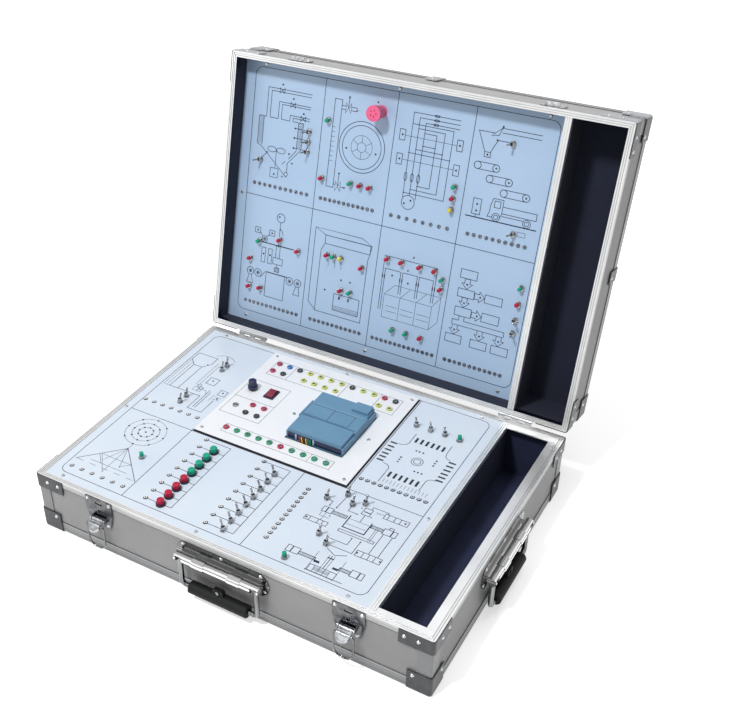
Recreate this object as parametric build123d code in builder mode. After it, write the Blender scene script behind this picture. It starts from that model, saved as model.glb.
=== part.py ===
from build123d import *
import math
import os

# Programmable logic controller trainer in an aluminium instrument case, millimetres, +Z up.
# The case stands open. Its front looks towards -Y, and the lid leans back on two rear hinges.

# Case
case_width = 590.0
case_depth = 424.0
base_height = 95.0
lid_height = 81.0
lid_open_angle = 103.0
board_thickness = 5.0
floor_thickness = 4.0
corner_radius = 3.0

# Extrusions along the edges
skin = 1.2
inner_leg = 1.8
rim_height = 10.0
rim_slot_depth = 7.0
groove_width = 1.2
groove_depth = 0.9
groove_first = 2.2
groove_second = 5.0
mitre_kerf = 0.2
edge_height = 17.0
edge_slot_depth = 8.0
edge_flange = 18.0
edge_flange_thickness = 2.0
edge_fillet = 2.5
post_leg = 20.0

# Corner guards and their rivets
guard_thickness = 1.5
ball_size = 33.0
strap_length = 46.0
strap_height = 21.0
strap_gap = 0.5
brace_width = 18.0
brace_height = 34.0
brace_wrap = 12.0
rivet_head_radius = 2.6
rivet_head_height = 1.4
rivet_shank_radius = 1.5
rivet_clearance = 0.1
rivet_head_taper = 35.0
strap_rivets = (19.0, 37.0)
strap_rivet_depth = 9.0
ball_rivet_inset = 24.0
ball_rivet_height = 25.0
leaf_rivets = (-17.0, 0.0, 17.0)
leaf_rivet_depth = 18.0
latch_rivets = ((-18.0, -5.5), (18.0, -5.5), (-12.5, -42.0), (12.5, -42.0))
keeper_rivets = (-9.0, 9.0)
keeper_rivet_depth = 19.0
handle_rivets = ((-58.0, 14.0), (58.0, 14.0), (0.0, 15.0), (-63.0, -10.0), (63.0, -10.0))
brace_rivet_height = 28.0
rivet_length = 9.0

# Hinges at the rear
hinge_offset = 3.5
hinge_rise = 4.0
hinge_span = 50.0
hinge_x = 220.0
hinge_barrel_radius = 3.1
hinge_pin_radius = 1.5
hinge_fit = 0.05
hinge_leaf_thickness = 1.2
hinge_leaf_length = 24.0
hinge_knuckles = 5
hinge_knuckle_gap = 0.3

# Face panels, and the rail between panel and storage space
panel_thickness = 2.0
base_panel_drop = 1.0
lid_panel_drop = 30.0
rail_left = 207.0
rail_right = 216.0
rail_grooves = (2.2, 5.6)
rail_height = 8.0
lid_rail_gap = 0.5
panel_gap = 0.3
support_width = 11.0
lid_support_width = 14.0
support_depth = 20.0
lining_thickness = 1.2
trim_side = 9.5
trim_front = 8.0
trim_rear = 11.0
trim_thickness = 1.5
trim_drop = 0.5

# Screws in the face panels
screw_columns = (-260.0, -41.0, 177.0)
screw_inset = 6.0
screw_left_x = -283.0
screw_right_x = 202.0
screw_side_y = -31.0
screw_head_radius = 2.8
screw_head_height = 1.6
screw_shank_radius = 1.5
screw_length = 9.0
screw_hole_gap = 0.2

# Controller module
module_centre = (-41.0, 82.0)
module_size = (246.0, 221.0)
module_thickness = 3.0
module_opening = (214.0, 196.0)
module_screw_inset = (8.0, 8.5)
module_side_screw_y = 71.0
module_side_screws = (-58.0, 63.0)

# Compact controller sunk through the module
plc_size = (90.0, 98.5, 75.0)
plc_corner = (-41.0, 22.0)
plc_stand = 15.0
plc_cover_height = 5.0
plc_front_cover = 39.0
plc_middle = 30.0
plc_gap = 0.3
plc_pin_radius = 1.2
plc_terminal_depth = 4.0
plc_opening_gap = 1.0
plc_wire_slot = 4.0
rail_bar = (110.0, 35.0, 7.5)
rail_post_spacing = 80.0
plc_hinge_radius = 2.1
plc_lug = 2.5
plc_terminal_edge = 4.0
plc_terminals = 11
plc_terminal_radius = 2.2
plc_terminal_height = 2.5
plc_pad = ((20.0, 45.0), (100.0, 119.0))
plc_pad_height = 4.0

# Power supply and circuit boards under the panels
psu_size = (160.0, 98.0, 38.0)
psu_corner = (20.0, -170.0)
psu_slots = 9
psu_slot_start = 15.0
psu_slot_pitch = 15.0
psu_slot_width = 5.0
psu_slot_depth = 2.0
circuit_thickness = 1.6
circuit_drop = 20.0
circuit_post_radius = 2.5
circuit_inset = 5.0
base_circuit = (-268.0, -172.0, -186.0, -34.0)
lid_circuit = (-265.0, 190.0, -185.0, -155.0)

# Sockets
jack_radius = 4.4
jack_head = 2.6
jack_bore = 2.05
jack_shank = 3.8
jack_length = 14.0
jack_floor = 2.0
jack_columns = (-141.0, -123.0, -105.0, -87.0, -69.0, -51.0, -33.0, -15.0, 3.0, 21.0, 38.5, 56.0)
jack_rear_row = 167.5
jack_second_row = 147.5
jack_second_skips = (2, 7, 8, 9)
jack_front_count = 10
jack_front_start = (-125.0, -3.5)
jack_pitch = 18.0
jack_pair_columns = (-120.0, -101.0)
jack_pair_rows = (58.5, 38.5)
chrome_jack_place = (-142.5, 47.0)
pin_radius = 2.4
pin_head = 1.0
pin_bore = 1.1
pin_shank = 1.7
pin_length = 7.0
pin_floor = 1.5
switch_pin_columns = (-135.5, -40.0)
switch_pin_first_y = -38.0
base_pin_rows = (
    (6, -264.0, 17.6, -175.0),
    (7, -269.5, 15.5, -2.0),
    (11, 91.0, 9.4, -3.5),
)
base_pin_column = (12, 41.0, -57.0, 9.5)
socket_hole_gap = 0.1

# Large push buttons beside the controller module
button_count = 8
button_pitch = 17.5
button_x = -110.0
button_first_y = -56.5
button_bezel_radius = 6.6
button_bezel_height = 3.2
button_barrel_radius = 5.8
button_barrel_length = 15.0
button_cap_radius = 5.1
button_cap_height = 9.5
button_cap_sunk = 8.0
button_cap_round = 1.5
button_floor = 1.5
button_fit = 0.1

# Toggle switches
toggle_bank_x = -12.0
toggle_bush_radius = 3.0
toggle_bush_height = 7.0
toggle_bore = 2.3
toggle_nut_flats = 8.0
toggle_nut_height = 2.0
toggle_body = (8.0, 13.0, 10.0)
toggle_pivot_height = 4.0
toggle_pin_radius = 0.6
toggle_pin_fit = 0.03
toggle_lever_root = 1.0
toggle_lever_tip = 1.5
toggle_lever_length = 13.5
toggle_tilt = 12.0
toggle_floor = 1.5
toggle_pin_bite = 0.6
toggle_eye_radius = 1.6
toggle_eye_width = 2.4
crossing_toggles = ((105.5, 134.5), (127.5, 134.5), (149.0, 134.5))
rear_left_toggles = ((-211.0, 126.0), (-211.0, 113.0), (-220.0, 32.0), (-220.0, 16.0))
front_right_toggles = (
    (71.5, -61.5),
    (92.5, -42.5),
    (106.5, -56.0),
    (120.5, -47.0),
    (96.0, -125.0),
    (112.5, -136.0),
)

# Small push buttons with chrome bushes
mini_bush_radius = 3.5
mini_bush_height = 4.5
mini_nut_radius = 4.6
mini_nut_height = 1.6
mini_bush_length = 12.0
mini_cap_radius = 2.9
mini_cap_height = 9.5
mini_cap_sunk = 6.0
mini_body_radius = 4.2
mini_floor = 2.0
mini_fit = 0.1
start_buttons_at = ((-190.0, -115.0), (80.0, -181.5), (171.5, 133.5))

# Knob and rocker on the module
knob_place = (-142.0, 93.0)
knob_radius = 7.5
knob_height = 14.0
knob_shaft_radius = 3.0
knob_fit = 0.05
knob_bush_radius = 5.2
knob_neck_radius = 4.2
knob_bush_height = 2.0
knob_body_height = 9.0
knob_shaft_depth = 6.0
knob_shaft_sunk = 6.0
knob_round = 1.0
knob_top_radius = 6.0
knob_skirt_height = 5.0
knob_pointer = (1.2, 6.0)
knob_pointer_depth = 0.6
rocker_place = (-110.5, 94.5)
rocker_bezel = (16.0, 22.0, 2.0)
rocker_cap = (11.0, 16.0, 8.0)
rocker_body = (13.6, 19.8, 12.0)
rocker_well = (11.8, 18.0)
rocker_pivot_depth = 1.0
rocker_above = 5.0
rocker_floor = 1.5
rocker_tilt = 9.0
rocker_pin_radius = 1.2
rocker_fit = 0.05

# Lid controls: x from the middle to the right, v up the lid from its hinge edge
lid_rows = (
    (11, -257.5, 9.25, 231.5),
    (12, -141.0, 7.86, 231.5),
    (8, -24.0, 12.57, 231.5),
    (10, 95.0, 9.3, 231.5),
    (13, -256.0, 7.9, 40.0),
    (12, -136.0, 7.86, 40.0),
    (14, -27.0, 7.6, 40.0),
    (12, 92.5, 7.83, 40.0),
)
lid_button_places = (
    (-141.0, 347.0),
    (-142.0, 262.0),
    (-94.0, 263.5),
    (-78.0, 263.5),
    (-62.5, 263.5),
    (65.5, 292.0),
    (65.5, 275.5),
    (65.5, 259.5),
    (-239.0, 143.0),
    (-202.0, 152.5),
    (-169.0, 142.5),
    (-252.5, 112.0),
    (-250.5, 66.0),
    (-230.0, 68.0),
    (-118.0, 149.0),
    (-107.0, 149.0),
    (-95.0, 149.0),
    (-58.5, 143.0),
    (-88.5, 99.5),
    (-73.0, 100.0),
    (-19.0, 167.0),
    (4.0, 167.0),
    (33.0, 167.0),
    (56.5, 167.0),
    (69.5, 157.0),
    (69.5, 142.5),
    (4.5, 62.0),
    (26.5, 62.0),
    (50.5, 62.0),
    (185.0, 174.5),
    (185.0, 151.0),
)
lid_column_toggles = ((-171.0, 325.0), (-171.0, 310.0), (-171.0, 295.5))
lid_pair_toggles = ((185.0, 127.5), (185.0, 108.0))
lid_fixed_toggles = ((-250.0, 269.5), (137.0, 365.0), (159.5, 246.0))
lid_screw_columns = (-253.0, -36.0, 180.0)
lid_screw_y = 196.5
lid_screw_left_x = -278.0
sounder_place = (-60.0, 373.0)
sounder_top_radius = 11.0
sounder_base_radius = 7.5
sounder_height = 26.0
sounder_nut_radius = 9.0
sounder_nut_height = 2.5
sounder_shank_radius = 6.0
sounder_shank_length = 12.0
sounder_rim = 5.0
sounder_hole_ring = 4.5
sounder_holes = 5
sounder_hole_radius = 1.0
sounder_hole_depth = 2.0

# Draw latches
latch_places = (-188.0, 186.0)
latch_top = 94.5
latch_width = 44.0
latch_foot_width = 32.0
latch_height = 46.0
latch_plate_thickness = 1.2
latch_ear_gap = 20.0
latch_ear_thickness = 1.5
latch_pivot_z = 62.0
latch_pivot_out = 5.5
latch_pin_radius = 1.5
latch_fit = 0.05
latch_shoulder = 20.0
latch_corner = 2.0
latch_slot = (12.0, 4.0)
latch_slot_drop = 8.0
latch_hole_drop = 21.0
latch_hole_radius = 2.5
latch_ear_radius = 3.6
loop_eye_radius = 2.6
loop_bend = 3.5
loop_round = 12.0
loop_seam = 0.1
lever_width = 18.0
lever_length = 18.25
lever_thickness = 1.5
lever_angle = 72.0
lever_lip = 3.5
lever_lip_thickness = 1.5
lever_eye_radius = 3.2
loop_arm = 8.0
loop_width = 27.0
loop_length = 40.0
loop_wire = 1.4
keeper_width = 30.0
keeper_height = 22.0
keeper_hook = 6.0
keeper_drop = 3.0
keeper_hook_width = 20.0
keeper_hook_drop = 5.0
keeper_lip = 4.0

# Carrying handles
front_handle_x = 6.0
side_handle_y = -5.0
handle_z = 66.0
handle_plate = (140.0, 38.0, 1.5)
handle_out = 10.0
handle_tube_radius = 6.4
handle_tube_length = 126.0
handle_collar_radius = 7.3
handle_collar_length = 18.0
handle_collar_place = 27.0
handle_saddle = (118.0, 8.0)
handle_plate_lower = 0.5
handle_slot_gap = 0.4
bail_wire = 3.5
bail_leg_gap = 114.0
bail_bend = 5.5
bail_drop = 46.5
bail_stub = 18.0
bail_fit = 0.1
grip_radius = 8.8
grip_length = 88.0
grip_ear = (16.0, 9.0, 6.0)
grip_round = 1.2

# Places worked out from the sizes above
theta = math.radians(lid_open_angle)
lid_up = Vector(0, -math.cos(theta), math.sin(theta))
lid_in = Vector(0, math.sin(theta), math.cos(theta))
handle_reach = handle_out + grip_radius
lever_reach = latch_pivot_out + lever_length * math.sin(math.radians(lever_angle))
base_top_y = case_depth / 2 + hinge_offset
lid_edge_y = base_top_y + hinge_offset * lid_up.Y - hinge_rise * lid_in.Y
lid_edge_z = base_height + hinge_rise + hinge_offset * lid_up.Z - hinge_rise * lid_in.Z
rear_reach = lid_edge_y + (case_depth + guard_thickness) * lid_up.Y + lid_height * lid_in.Y
front_reach = case_depth / 2 + lever_reach
case_x = -(handle_reach - guard_thickness) / 2
case_y = (front_reach - rear_reach) / 2
base_depth = base_height - guard_thickness
lid_depth = lid_height - guard_thickness
half_w = case_width / 2
half_d = case_depth / 2
wall_in = skin + board_thickness
rim_width = wall_in + inner_leg

# Each half of the case has a frame in the middle of its opening, looking out of it.
base_frame = Plane(origin=(case_x, case_y, base_height), x_dir=(1, 0, 0), z_dir=(0, 0, 1))
lid_corner = Vector(case_x, case_y + lid_edge_y, lid_edge_z)
lid_frame = Plane(origin=lid_corner + lid_up * half_d, x_dir=(1, 0, 0), z_dir=lid_in * -1)


def level(frame, height):
    """A plane across the case at a height above the rim."""
    return frame.offset(height)


def wall_plane(frame, side, out=0.0):
    """A plane on one outer wall of a half; its Y runs towards the opening."""
    facing = {"front": frame.y_dir * -1, "rear": frame.y_dir, "right": frame.x_dir, "left": frame.x_dir * -1}
    along = {"front": frame.x_dir, "rear": frame.x_dir * -1, "right": frame.y_dir, "left": frame.y_dir * -1}
    reach = half_d if side in ("front", "rear") else half_w
    return Plane(origin=frame.origin + facing[side] * (reach + out), x_dir=along[side], z_dir=facing[side])


def save(part, name):
    part.label = name
    export_step(part, f"parts/{name}.step")


def add_ring(frame, top, height, outer_inset, inner_inset, outer_radius, mode=Mode.ADD):
    """A rectangular ring, its insets measured from the case's outline."""
    with BuildSketch(level(frame, top - height)) as ring:
        width = case_width - 2 * outer_inset
        depth = case_depth - 2 * outer_inset
        if outer_radius > 0:
            RectangleRounded(width, depth, outer_radius)
        else:
            Rectangle(width, depth)
        Rectangle(case_width - 2 * inner_inset, case_depth - 2 * inner_inset, mode=Mode.SUBTRACT)
    extrude(ring.sketch, amount=height, mode=mode)


def cut_mitres(frame, bottom, height):
    """Thin saw cuts across the four corners."""
    reach = 2 * edge_flange
    for sx in (-1, 1):
        for sy in (-1, 1):
            corner = (sx * (half_w - reach / 2), sy * (half_d - reach / 2))
            with BuildSketch(level(frame, bottom)) as kerf:
                with Locations((corner[0], corner[1])):
                    Rectangle(2 * reach, mitre_kerf, rotation=45 * sx * sy)
            extrude(kerf.sketch, amount=height, mode=Mode.SUBTRACT)


def make_edge_frame(frame, depth, rivets, name):
    """The closing extrusion on the far edges, and the four corner posts."""
    with BuildPart() as edge:
        add_ring(frame, edge_height - depth, edge_height, 0, edge_flange, corner_radius)
        low = edge.faces().sort_by(Axis(frame.origin, frame.z_dir))[0]
        outline = low.outer_wire().edges()
        fillet(outline, edge_fillet)
        inner_height = edge_height - edge_flange_thickness
        add_ring(frame, edge_height - depth, inner_height, wall_in, edge_flange + 1, 0, Mode.SUBTRACT)
        add_ring(frame, edge_height - depth, edge_slot_depth, skin, wall_in, 0, Mode.SUBTRACT)
        cut_mitres(frame, -depth, edge_height)
        post_height = depth - edge_height - rim_height - mitre_kerf
        for sx in (-1, 1):
            for sy in (-1, 1):
                with BuildSketch(level(frame, -rim_height - post_height)) as post:
                    with Locations((sx * (half_w - post_leg / 2), sy * (half_d - post_leg / 2))):
                        Rectangle(post_leg, post_leg)
                    fillet(corner_vertex(post, sx, sy), corner_radius)
                    core_x = half_w - skin - post_leg / 2
                    core_y = half_d - skin - post_leg / 2
                    with Locations((sx * core_x, sy * core_y)):
                        Rectangle(post_leg, post_leg, mode=Mode.SUBTRACT)
                extrude(amount=post_height)
        cut_rivets(frame, rivets)
    save(edge.part, name)


def corner_vertex(sketch, sx, sy):
    """The sketch's own vertex that lies furthest out towards one corner."""
    return sketch.vertices().sort_by(lambda v: sx * v.X + sy * v.Y)[-1]


def place(frame, x, y, z):
    """A point of the case in the shared frame."""
    return frame.origin + frame.x_dir * x + frame.y_dir * y + frame.z_dir * z


def add_block(frame, x_range, y_range, top, height, mode=Mode.ADD):
    """A block between two x and two y values, its top at a height above the rim."""
    with BuildSketch(level(frame, top - height)) as block:
        with Locations((sum(x_range) / 2, sum(y_range) / 2)):
            Rectangle(x_range[1] - x_range[0], y_range[1] - y_range[0])
    extrude(block.sketch, amount=height, mode=mode)


def add_rods(frame, places, radius, top, height, mode=Mode.ADD):
    """Round rods or holes at many places, their tops at a height above the rim."""
    with BuildSketch(level(frame, top - height)) as rods:
        with Locations(*places):
            Circle(radius)
    extrude(rods.sketch, amount=height, mode=mode)


def mirrored(side, x):
    """The place along a wall that belongs to a place across the case."""
    return -x if side in ("rear", "left") else x


def guard_rivets(side, depth):
    """Rivets of the corner straps and corner balls on one wall."""
    reach = half_w if side in ("front", "rear") else half_d
    rivets = []
    for end in (-1, 1):
        for inset in strap_rivets:
            rivets.append((side, end * (reach - inset), -strap_rivet_depth, guard_thickness))
        rivets.append((side, end * (reach - ball_rivet_inset), ball_rivet_height - depth, guard_thickness))
    return rivets


# Rivets, each with its wall, place along the wall, place up the wall and surface height
base_rivets = []
lid_rivets = []
for wall in ("front", "rear", "left", "right"):
    base_rivets += guard_rivets(wall, base_depth)
    lid_rivets += guard_rivets(wall, lid_depth)
for hinge_side in (-1, 1):
    for step in leaf_rivets:
        leaf_x = hinge_side * hinge_x + step
        base_rivets.append(("rear", leaf_x, -leaf_rivet_depth, hinge_leaf_thickness))
        lid_rivets.append(("front", leaf_x, -leaf_rivet_depth, hinge_leaf_thickness))
for latch_x in latch_places:
    for dx, dy in latch_rivets:
        base_rivets.append(("front", latch_x + dx, dy, latch_plate_thickness))
    for dx in keeper_rivets:
        keeper_x = mirrored("rear", latch_x) + dx
        lid_rivets.append(("rear", keeper_x, -keeper_rivet_depth, latch_plate_thickness))
handle_surface = handle_plate[2] - skin
handle_drop = handle_z - base_height
for dx, dy in handle_rivets:
    base_rivets.append(("front", front_handle_x + dx, handle_drop + dy, handle_surface))
    base_rivets.append(("right", side_handle_y + dx, handle_drop + dy, handle_surface))
for wall in ("rear", "left", "right"):
    lid_rivets.append((wall, 0.0, brace_rivet_height - lid_depth, guard_thickness))


def grouped(rivets):
    """Rivets sorted by wall and surface height."""
    groups = {}
    for side, x, y, out in rivets:
        groups.setdefault((side, out), []).append((x, y))
    return groups


def cut_rivets(frame, rivets):
    """Clearance holes for rivets through everything near the wall."""
    for (side, out), places in grouped(rivets).items():
        with BuildSketch(wall_plane(frame, side, out + rivet_head_height)) as holes:
            with Locations(*places):
                Circle(rivet_shank_radius + rivet_clearance)
        extrude(holes.sketch, amount=-(rivet_length + 2 * rivet_head_height), mode=Mode.SUBTRACT)


def add_rivets(frame, rivets):
    """Domed rivets with their shanks through the wall."""
    for (side, out), places in grouped(rivets).items():
        surface = wall_plane(frame, side, out)
        with BuildSketch(surface) as heads:
            with Locations(*places):
                Circle(rivet_head_radius)
        extrude(heads.sketch, amount=rivet_head_height, taper=rivet_head_taper)
        with BuildSketch(surface) as shanks:
            with Locations(*places):
                Circle(rivet_shank_radius)
        extrude(shanks.sketch, amount=-(out + wall_in))


def make_boards(frame, depth, rivets, divider_top, name):
    """Four wall boards, the closing board and the storage divider."""
    closing = edge_flange_thickness - depth
    low = edge_height - edge_slot_depth - depth
    top = rim_slot_depth - rim_height
    outer_x = half_w - skin
    outer_y = half_d - skin
    inner_x = half_w - wall_in
    inner_y = half_d - wall_in
    short_y = inner_y - mitre_kerf
    with BuildPart() as boards:
        add_block(frame, (-outer_x, outer_x), (-outer_y, -inner_y), top, top - low)
        add_block(frame, (-outer_x, outer_x), (inner_y, outer_y), top, top - low)
        add_block(frame, (-outer_x, -inner_x), (-short_y, short_y), top, top - low)
        add_block(frame, (inner_x, outer_x), (-short_y, short_y), top, top - low)
        add_block(frame, (-inner_x, inner_x), (-inner_y, inner_y), closing + floor_thickness, floor_thickness)
        foot = closing + floor_thickness + mitre_kerf
        divider = (rail_left, rail_left + board_thickness)
        divider_y = half_d - rim_width
        add_block(frame, divider, (-divider_y, divider_y), divider_top, divider_top - foot)
        cut_rivets(frame, rivets)
    save(boards.part, name)


def make_rim(frame, rivets, name):
    """The grooved extrusion round the opening, in four mitred lengths."""
    with BuildPart() as rim:
        add_ring(frame, 0, rim_height, 0, rim_width, corner_radius)
        add_ring(frame, rim_slot_depth - rim_height, rim_slot_depth, skin, wall_in, 0, Mode.SUBTRACT)
        for inset in (groove_first, groove_second):
            add_ring(frame, 0, groove_depth, inset, inset + groove_width, 0, Mode.SUBTRACT)
        cut_mitres(frame, -rim_height, rim_height)
        cut_rivets(frame, rivets)
    save(rim.part, name)


def make_guards(frame, depth, braces, rivets, name):
    """Corner straps at the opening, and corner balls and braces on the far edges."""
    wide = case_width + 2 * guard_thickness
    deep = case_depth + 2 * guard_thickness
    with BuildPart() as guards:
        with BuildSketch(level(frame, -depth - guard_thickness)):
            RectangleRounded(wide, deep, corner_radius + guard_thickness)
        extrude(amount=brace_height)
        low = guards.faces().sort_by(Axis(frame.origin, frame.z_dir))[0]
        fillet(low.outer_wire().edges(), edge_fillet + guard_thickness)
        with BuildSketch(level(frame, -depth), mode=Mode.PRIVATE) as inside:
            RectangleRounded(case_width, case_depth, corner_radius)
        core = Solid.extrude(inside.sketch.faces()[0], frame.z_dir * brace_height)
        core_low = core.faces().sort_by(Axis(frame.origin, frame.z_dir))[0]
        core = core.fillet(edge_fillet, core_low.outer_wire().edges())
        add(core, mode=Mode.SUBTRACT)
        with BuildSketch(level(frame, -depth - guard_thickness)):
            for sx in (-1, 1):
                for sy in (-1, 1):
                    with Locations((sx * (wide - ball_size) / 2, sy * (deep - ball_size) / 2)):
                        Rectangle(ball_size, ball_size)
            for x, y in braces:
                spot = (x * (wide - brace_wrap) / 2, y * (deep - brace_wrap) / 2)
                size = (brace_wrap, brace_width) if x else (brace_width, brace_wrap)
                with Locations(spot):
                    Rectangle(size[0], size[1])
        extrude(amount=brace_height, mode=Mode.INTERSECT)
        cut_back = brace_height - ball_size
        for sx in (-1, 1):
            for sy in (-1, 1):
                x_range = sorted((sx * (half_w - ball_size), sx * (half_w + 2 * guard_thickness)))
                y_range = sorted((sy * (half_d - ball_size), sy * (half_d + 2 * guard_thickness)))
                top = brace_height - guard_thickness - depth
                add_block(frame, x_range, y_range, top, cut_back, Mode.SUBTRACT)
        strap_top = -strap_gap
        with BuildSketch(level(frame, strap_top - strap_height)) as straps:
            RectangleRounded(wide, deep, corner_radius + guard_thickness)
            RectangleRounded(case_width, case_depth, corner_radius, mode=Mode.SUBTRACT)
            Rectangle(wide, deep - 2 * strap_length, mode=Mode.SUBTRACT)
            Rectangle(wide - 2 * strap_length, deep, mode=Mode.SUBTRACT)
        extrude(straps.sketch, amount=strap_height)
        cut_rivets(frame, rivets)
    save(guards.part, name)


os.makedirs("parts", exist_ok=True)

make_boards(base_frame, base_depth, base_rivets, -rail_height, "base_panels")
make_rim(base_frame, base_rivets, "base_rim")
make_edge_frame(base_frame, base_depth, base_rivets, "base_edge_frame")
make_guards(base_frame, base_depth, (), base_rivets, "base_corner_guards")
make_boards(lid_frame, lid_depth, lid_rivets, -rail_height - lid_rail_gap, "lid_panels")
make_rim(lid_frame, lid_rivets, "lid_rim")
make_edge_frame(lid_frame, lid_depth, lid_rivets, "lid_edge_frame")
make_guards(lid_frame, lid_depth, ((0, 1), (-1, 0), (1, 0)), lid_rivets, "lid_corner_guards")

# Everything carried by the base panel, as places across the case
panel_top = -base_panel_drop
lid_panel_top = -lid_panel_drop
module_top = panel_top + module_thickness
button_rows = [button_first_y - button_pitch * i for i in range(button_count)]
socket_rows = [switch_pin_first_y - button_pitch * i for i in range(button_count + 1)]
base_pins = [(x, y) for x in switch_pin_columns for y in socket_rows]
base_pins += [(x + pitch * i, y) for count, x, pitch, y in base_pin_rows for i in range(count)]
column_count, column_x, column_y, column_pitch = base_pin_column
base_pins += [(column_x, column_y - column_pitch * i) for i in range(column_count)]
bank_toggles = [(toggle_bank_x, y) for y in button_rows]
fixed_toggles = list(rear_left_toggles) + list(front_right_toggles)
base_toggles = bank_toggles + list(crossing_toggles) + fixed_toggles
push_buttons = [(button_x, y) for y in button_rows]

# Places in the lid, turned from heights up the lid to places about its middle
lid_pins = [(x + pitch * i, v - half_d) for count, x, pitch, v in lid_rows for i in range(count)]
lid_buttons = [(x, v - half_d) for x, v in lid_button_places]
lid_column = [(x, v - half_d) for x, v in lid_column_toggles]
lid_pair = [(x, v - half_d) for x, v in lid_pair_toggles]
lid_fixed = [(x, v - half_d) for x, v in lid_fixed_toggles]
lid_toggles = lid_column + lid_pair + lid_fixed
sounder_at = (sounder_place[0], sounder_place[1] - half_d)

inner_y = half_d - rim_width
base_screws = [(x, sy * (inner_y - screw_inset)) for x in screw_columns for sy in (-1, 1)]
base_screws += [(screw_left_x, screw_side_y), (screw_right_x, screw_side_y)]
lid_screws = [(x, y) for x in lid_screw_columns for y in (-lid_screw_y, lid_screw_y)]
lid_screws += [(lid_screw_left_x, 0.0)]
module_screws = []
for sx in (-1, 1):
    for sy in (-1, 1):
        screw_x = module_centre[0] + sx * (module_size[0] / 2 - module_screw_inset[0])
        screw_y = module_centre[1] + sy * (module_size[1] / 2 - module_screw_inset[1])
        module_screws.append((screw_x, screw_y))
module_screws += [(x, module_side_screw_y) for x in module_side_screws]


def around(centre, size):
    """The two x and two y values of a rectangle about a centre."""
    x_range = (centre[0] - size[0] / 2, centre[0] + size[0] / 2)
    return x_range, (centre[1] - size[1] / 2, centre[1] + size[1] / 2)


def add_screws(frame, screws, surface):
    """Pan-head screws standing on a surface."""
    with BuildSketch(level(frame, surface)) as heads:
        with Locations(*screws):
            Circle(screw_head_radius)
    extrude(heads.sketch, amount=screw_head_height, taper=rivet_head_taper)
    add_rods(frame, screws, screw_shank_radius, surface, screw_length)


def cut_screws(frame, screws, surface):
    """Clearance holes under screws."""
    depth = screw_length + screw_hole_gap
    add_rods(frame, screws, screw_shank_radius + screw_hole_gap, surface, depth, Mode.SUBTRACT)


def make_face_panel(frame, left, right, deep, top, holes, opening, screws, name):
    """A printed panel with holes for everything mounted in it."""
    with BuildPart() as panel:
        add_block(frame, (left, right), (-deep, deep), top, panel_thickness)
        if opening:
            add_block(frame, opening[0], opening[1], top, panel_thickness, Mode.SUBTRACT)
        for places, radius in holes:
            add_rods(frame, places, radius + socket_hole_gap, top, panel_thickness, Mode.SUBTRACT)
        cut_screws(frame, screws, top)
    save(panel.part, name)


pin_hole = pin_shank
base_holes = [(base_pins, pin_hole), (push_buttons, button_barrel_radius), (base_toggles, toggle_bush_radius)]
base_holes += [(start_buttons_at, mini_bush_radius)]
module_gap = around(module_centre, module_opening)
make_face_panel(base_frame, rim_width + panel_gap - half_w, rail_left - panel_gap, inner_y - panel_gap,
                panel_top, base_holes, module_gap, base_screws + module_screws, "face_panel")
lid_holes = [(lid_pins, pin_hole), (lid_buttons, mini_bush_radius), (lid_toggles, toggle_bush_radius)]
lid_holes += [([sounder_at], sounder_shank_radius)]
lid_left = wall_in + panel_gap - half_w
make_face_panel(lid_frame, lid_left, rail_left - panel_gap, half_d - wall_in - panel_gap,
                lid_panel_top, lid_holes, None, lid_screws, "lid_face_panel")

# The battens under the base panel, and the rail with its two posts under the controller
base_floor = edge_flange_thickness + floor_thickness - base_depth
plc_top = panel_top + module_thickness + plc_stand
plc_foot = plc_top - plc_size[2]
plc_centre = (plc_corner[0] + plc_size[0] / 2, plc_corner[1] + plc_size[1] / 2)
under_panel = panel_top - panel_thickness
with BuildPart() as panel_supports:
    left_edge = rim_width - half_w
    for side_y in (-1, 1):
        y_range = sorted((side_y * inner_y, side_y * (inner_y - support_width)))
        add_block(base_frame, (left_edge, rail_left), y_range, under_panel, support_depth)
    end_y = inner_y - support_width - mitre_kerf
    for start_x in (left_edge, rail_left - support_width):
        x_range = (start_x, start_x + support_width)
        add_block(base_frame, x_range, (-end_y, end_y), under_panel, support_depth)
    cut_screws(base_frame, base_screws, panel_top)
    rail_x, rail_y = around(plc_centre, rail_bar)
    add_block(base_frame, rail_x, rail_y, plc_foot, rail_bar[2])
    rail_foot = plc_foot - rail_bar[2]
    for side_x in (-1, 1):
        post_at = (plc_centre[0] + side_x * rail_post_spacing / 2, plc_centre[1])
        post_x, post_y = around(post_at, (support_width, support_width))
        add_block(base_frame, post_x, post_y, rail_foot, rail_foot - base_floor)
save(panel_supports.part, "panel_supports")

# The lid's divider rail and the battens its panel lies on
lid_under_panel = lid_panel_top - panel_thickness
lid_inner_x = half_w - wall_in
lid_inner_y = half_d - wall_in
with BuildPart() as lid_divider:
    for side_y in (-1, 1):
        y_range = sorted((side_y * lid_inner_y, side_y * (lid_inner_y - lid_support_width)))
        add_block(lid_frame, (-lid_inner_x, rail_left), y_range, lid_under_panel, support_depth)
    end_y = lid_inner_y - lid_support_width - mitre_kerf
    for start_x in (-lid_inner_x, rail_left - lid_support_width):
        x_range = (start_x, start_x + lid_support_width)
        add_block(lid_frame, x_range, (-end_y, end_y), lid_under_panel, support_depth)
    cut_screws(lid_frame, lid_screws, lid_panel_top)
    rail_y_range = (-inner_y, inner_y)
    add_block(lid_frame, (rail_left, rail_right), rail_y_range, -lid_rail_gap, rail_height)
    for groove_x in rail_grooves:
        x_range = (rail_left + groove_x, rail_left + groove_x + groove_width)
        add_block(lid_frame, x_range, rail_y_range, -lid_rail_gap, groove_depth, Mode.SUBTRACT)
save(lid_divider.part, "lid_divider")

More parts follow.
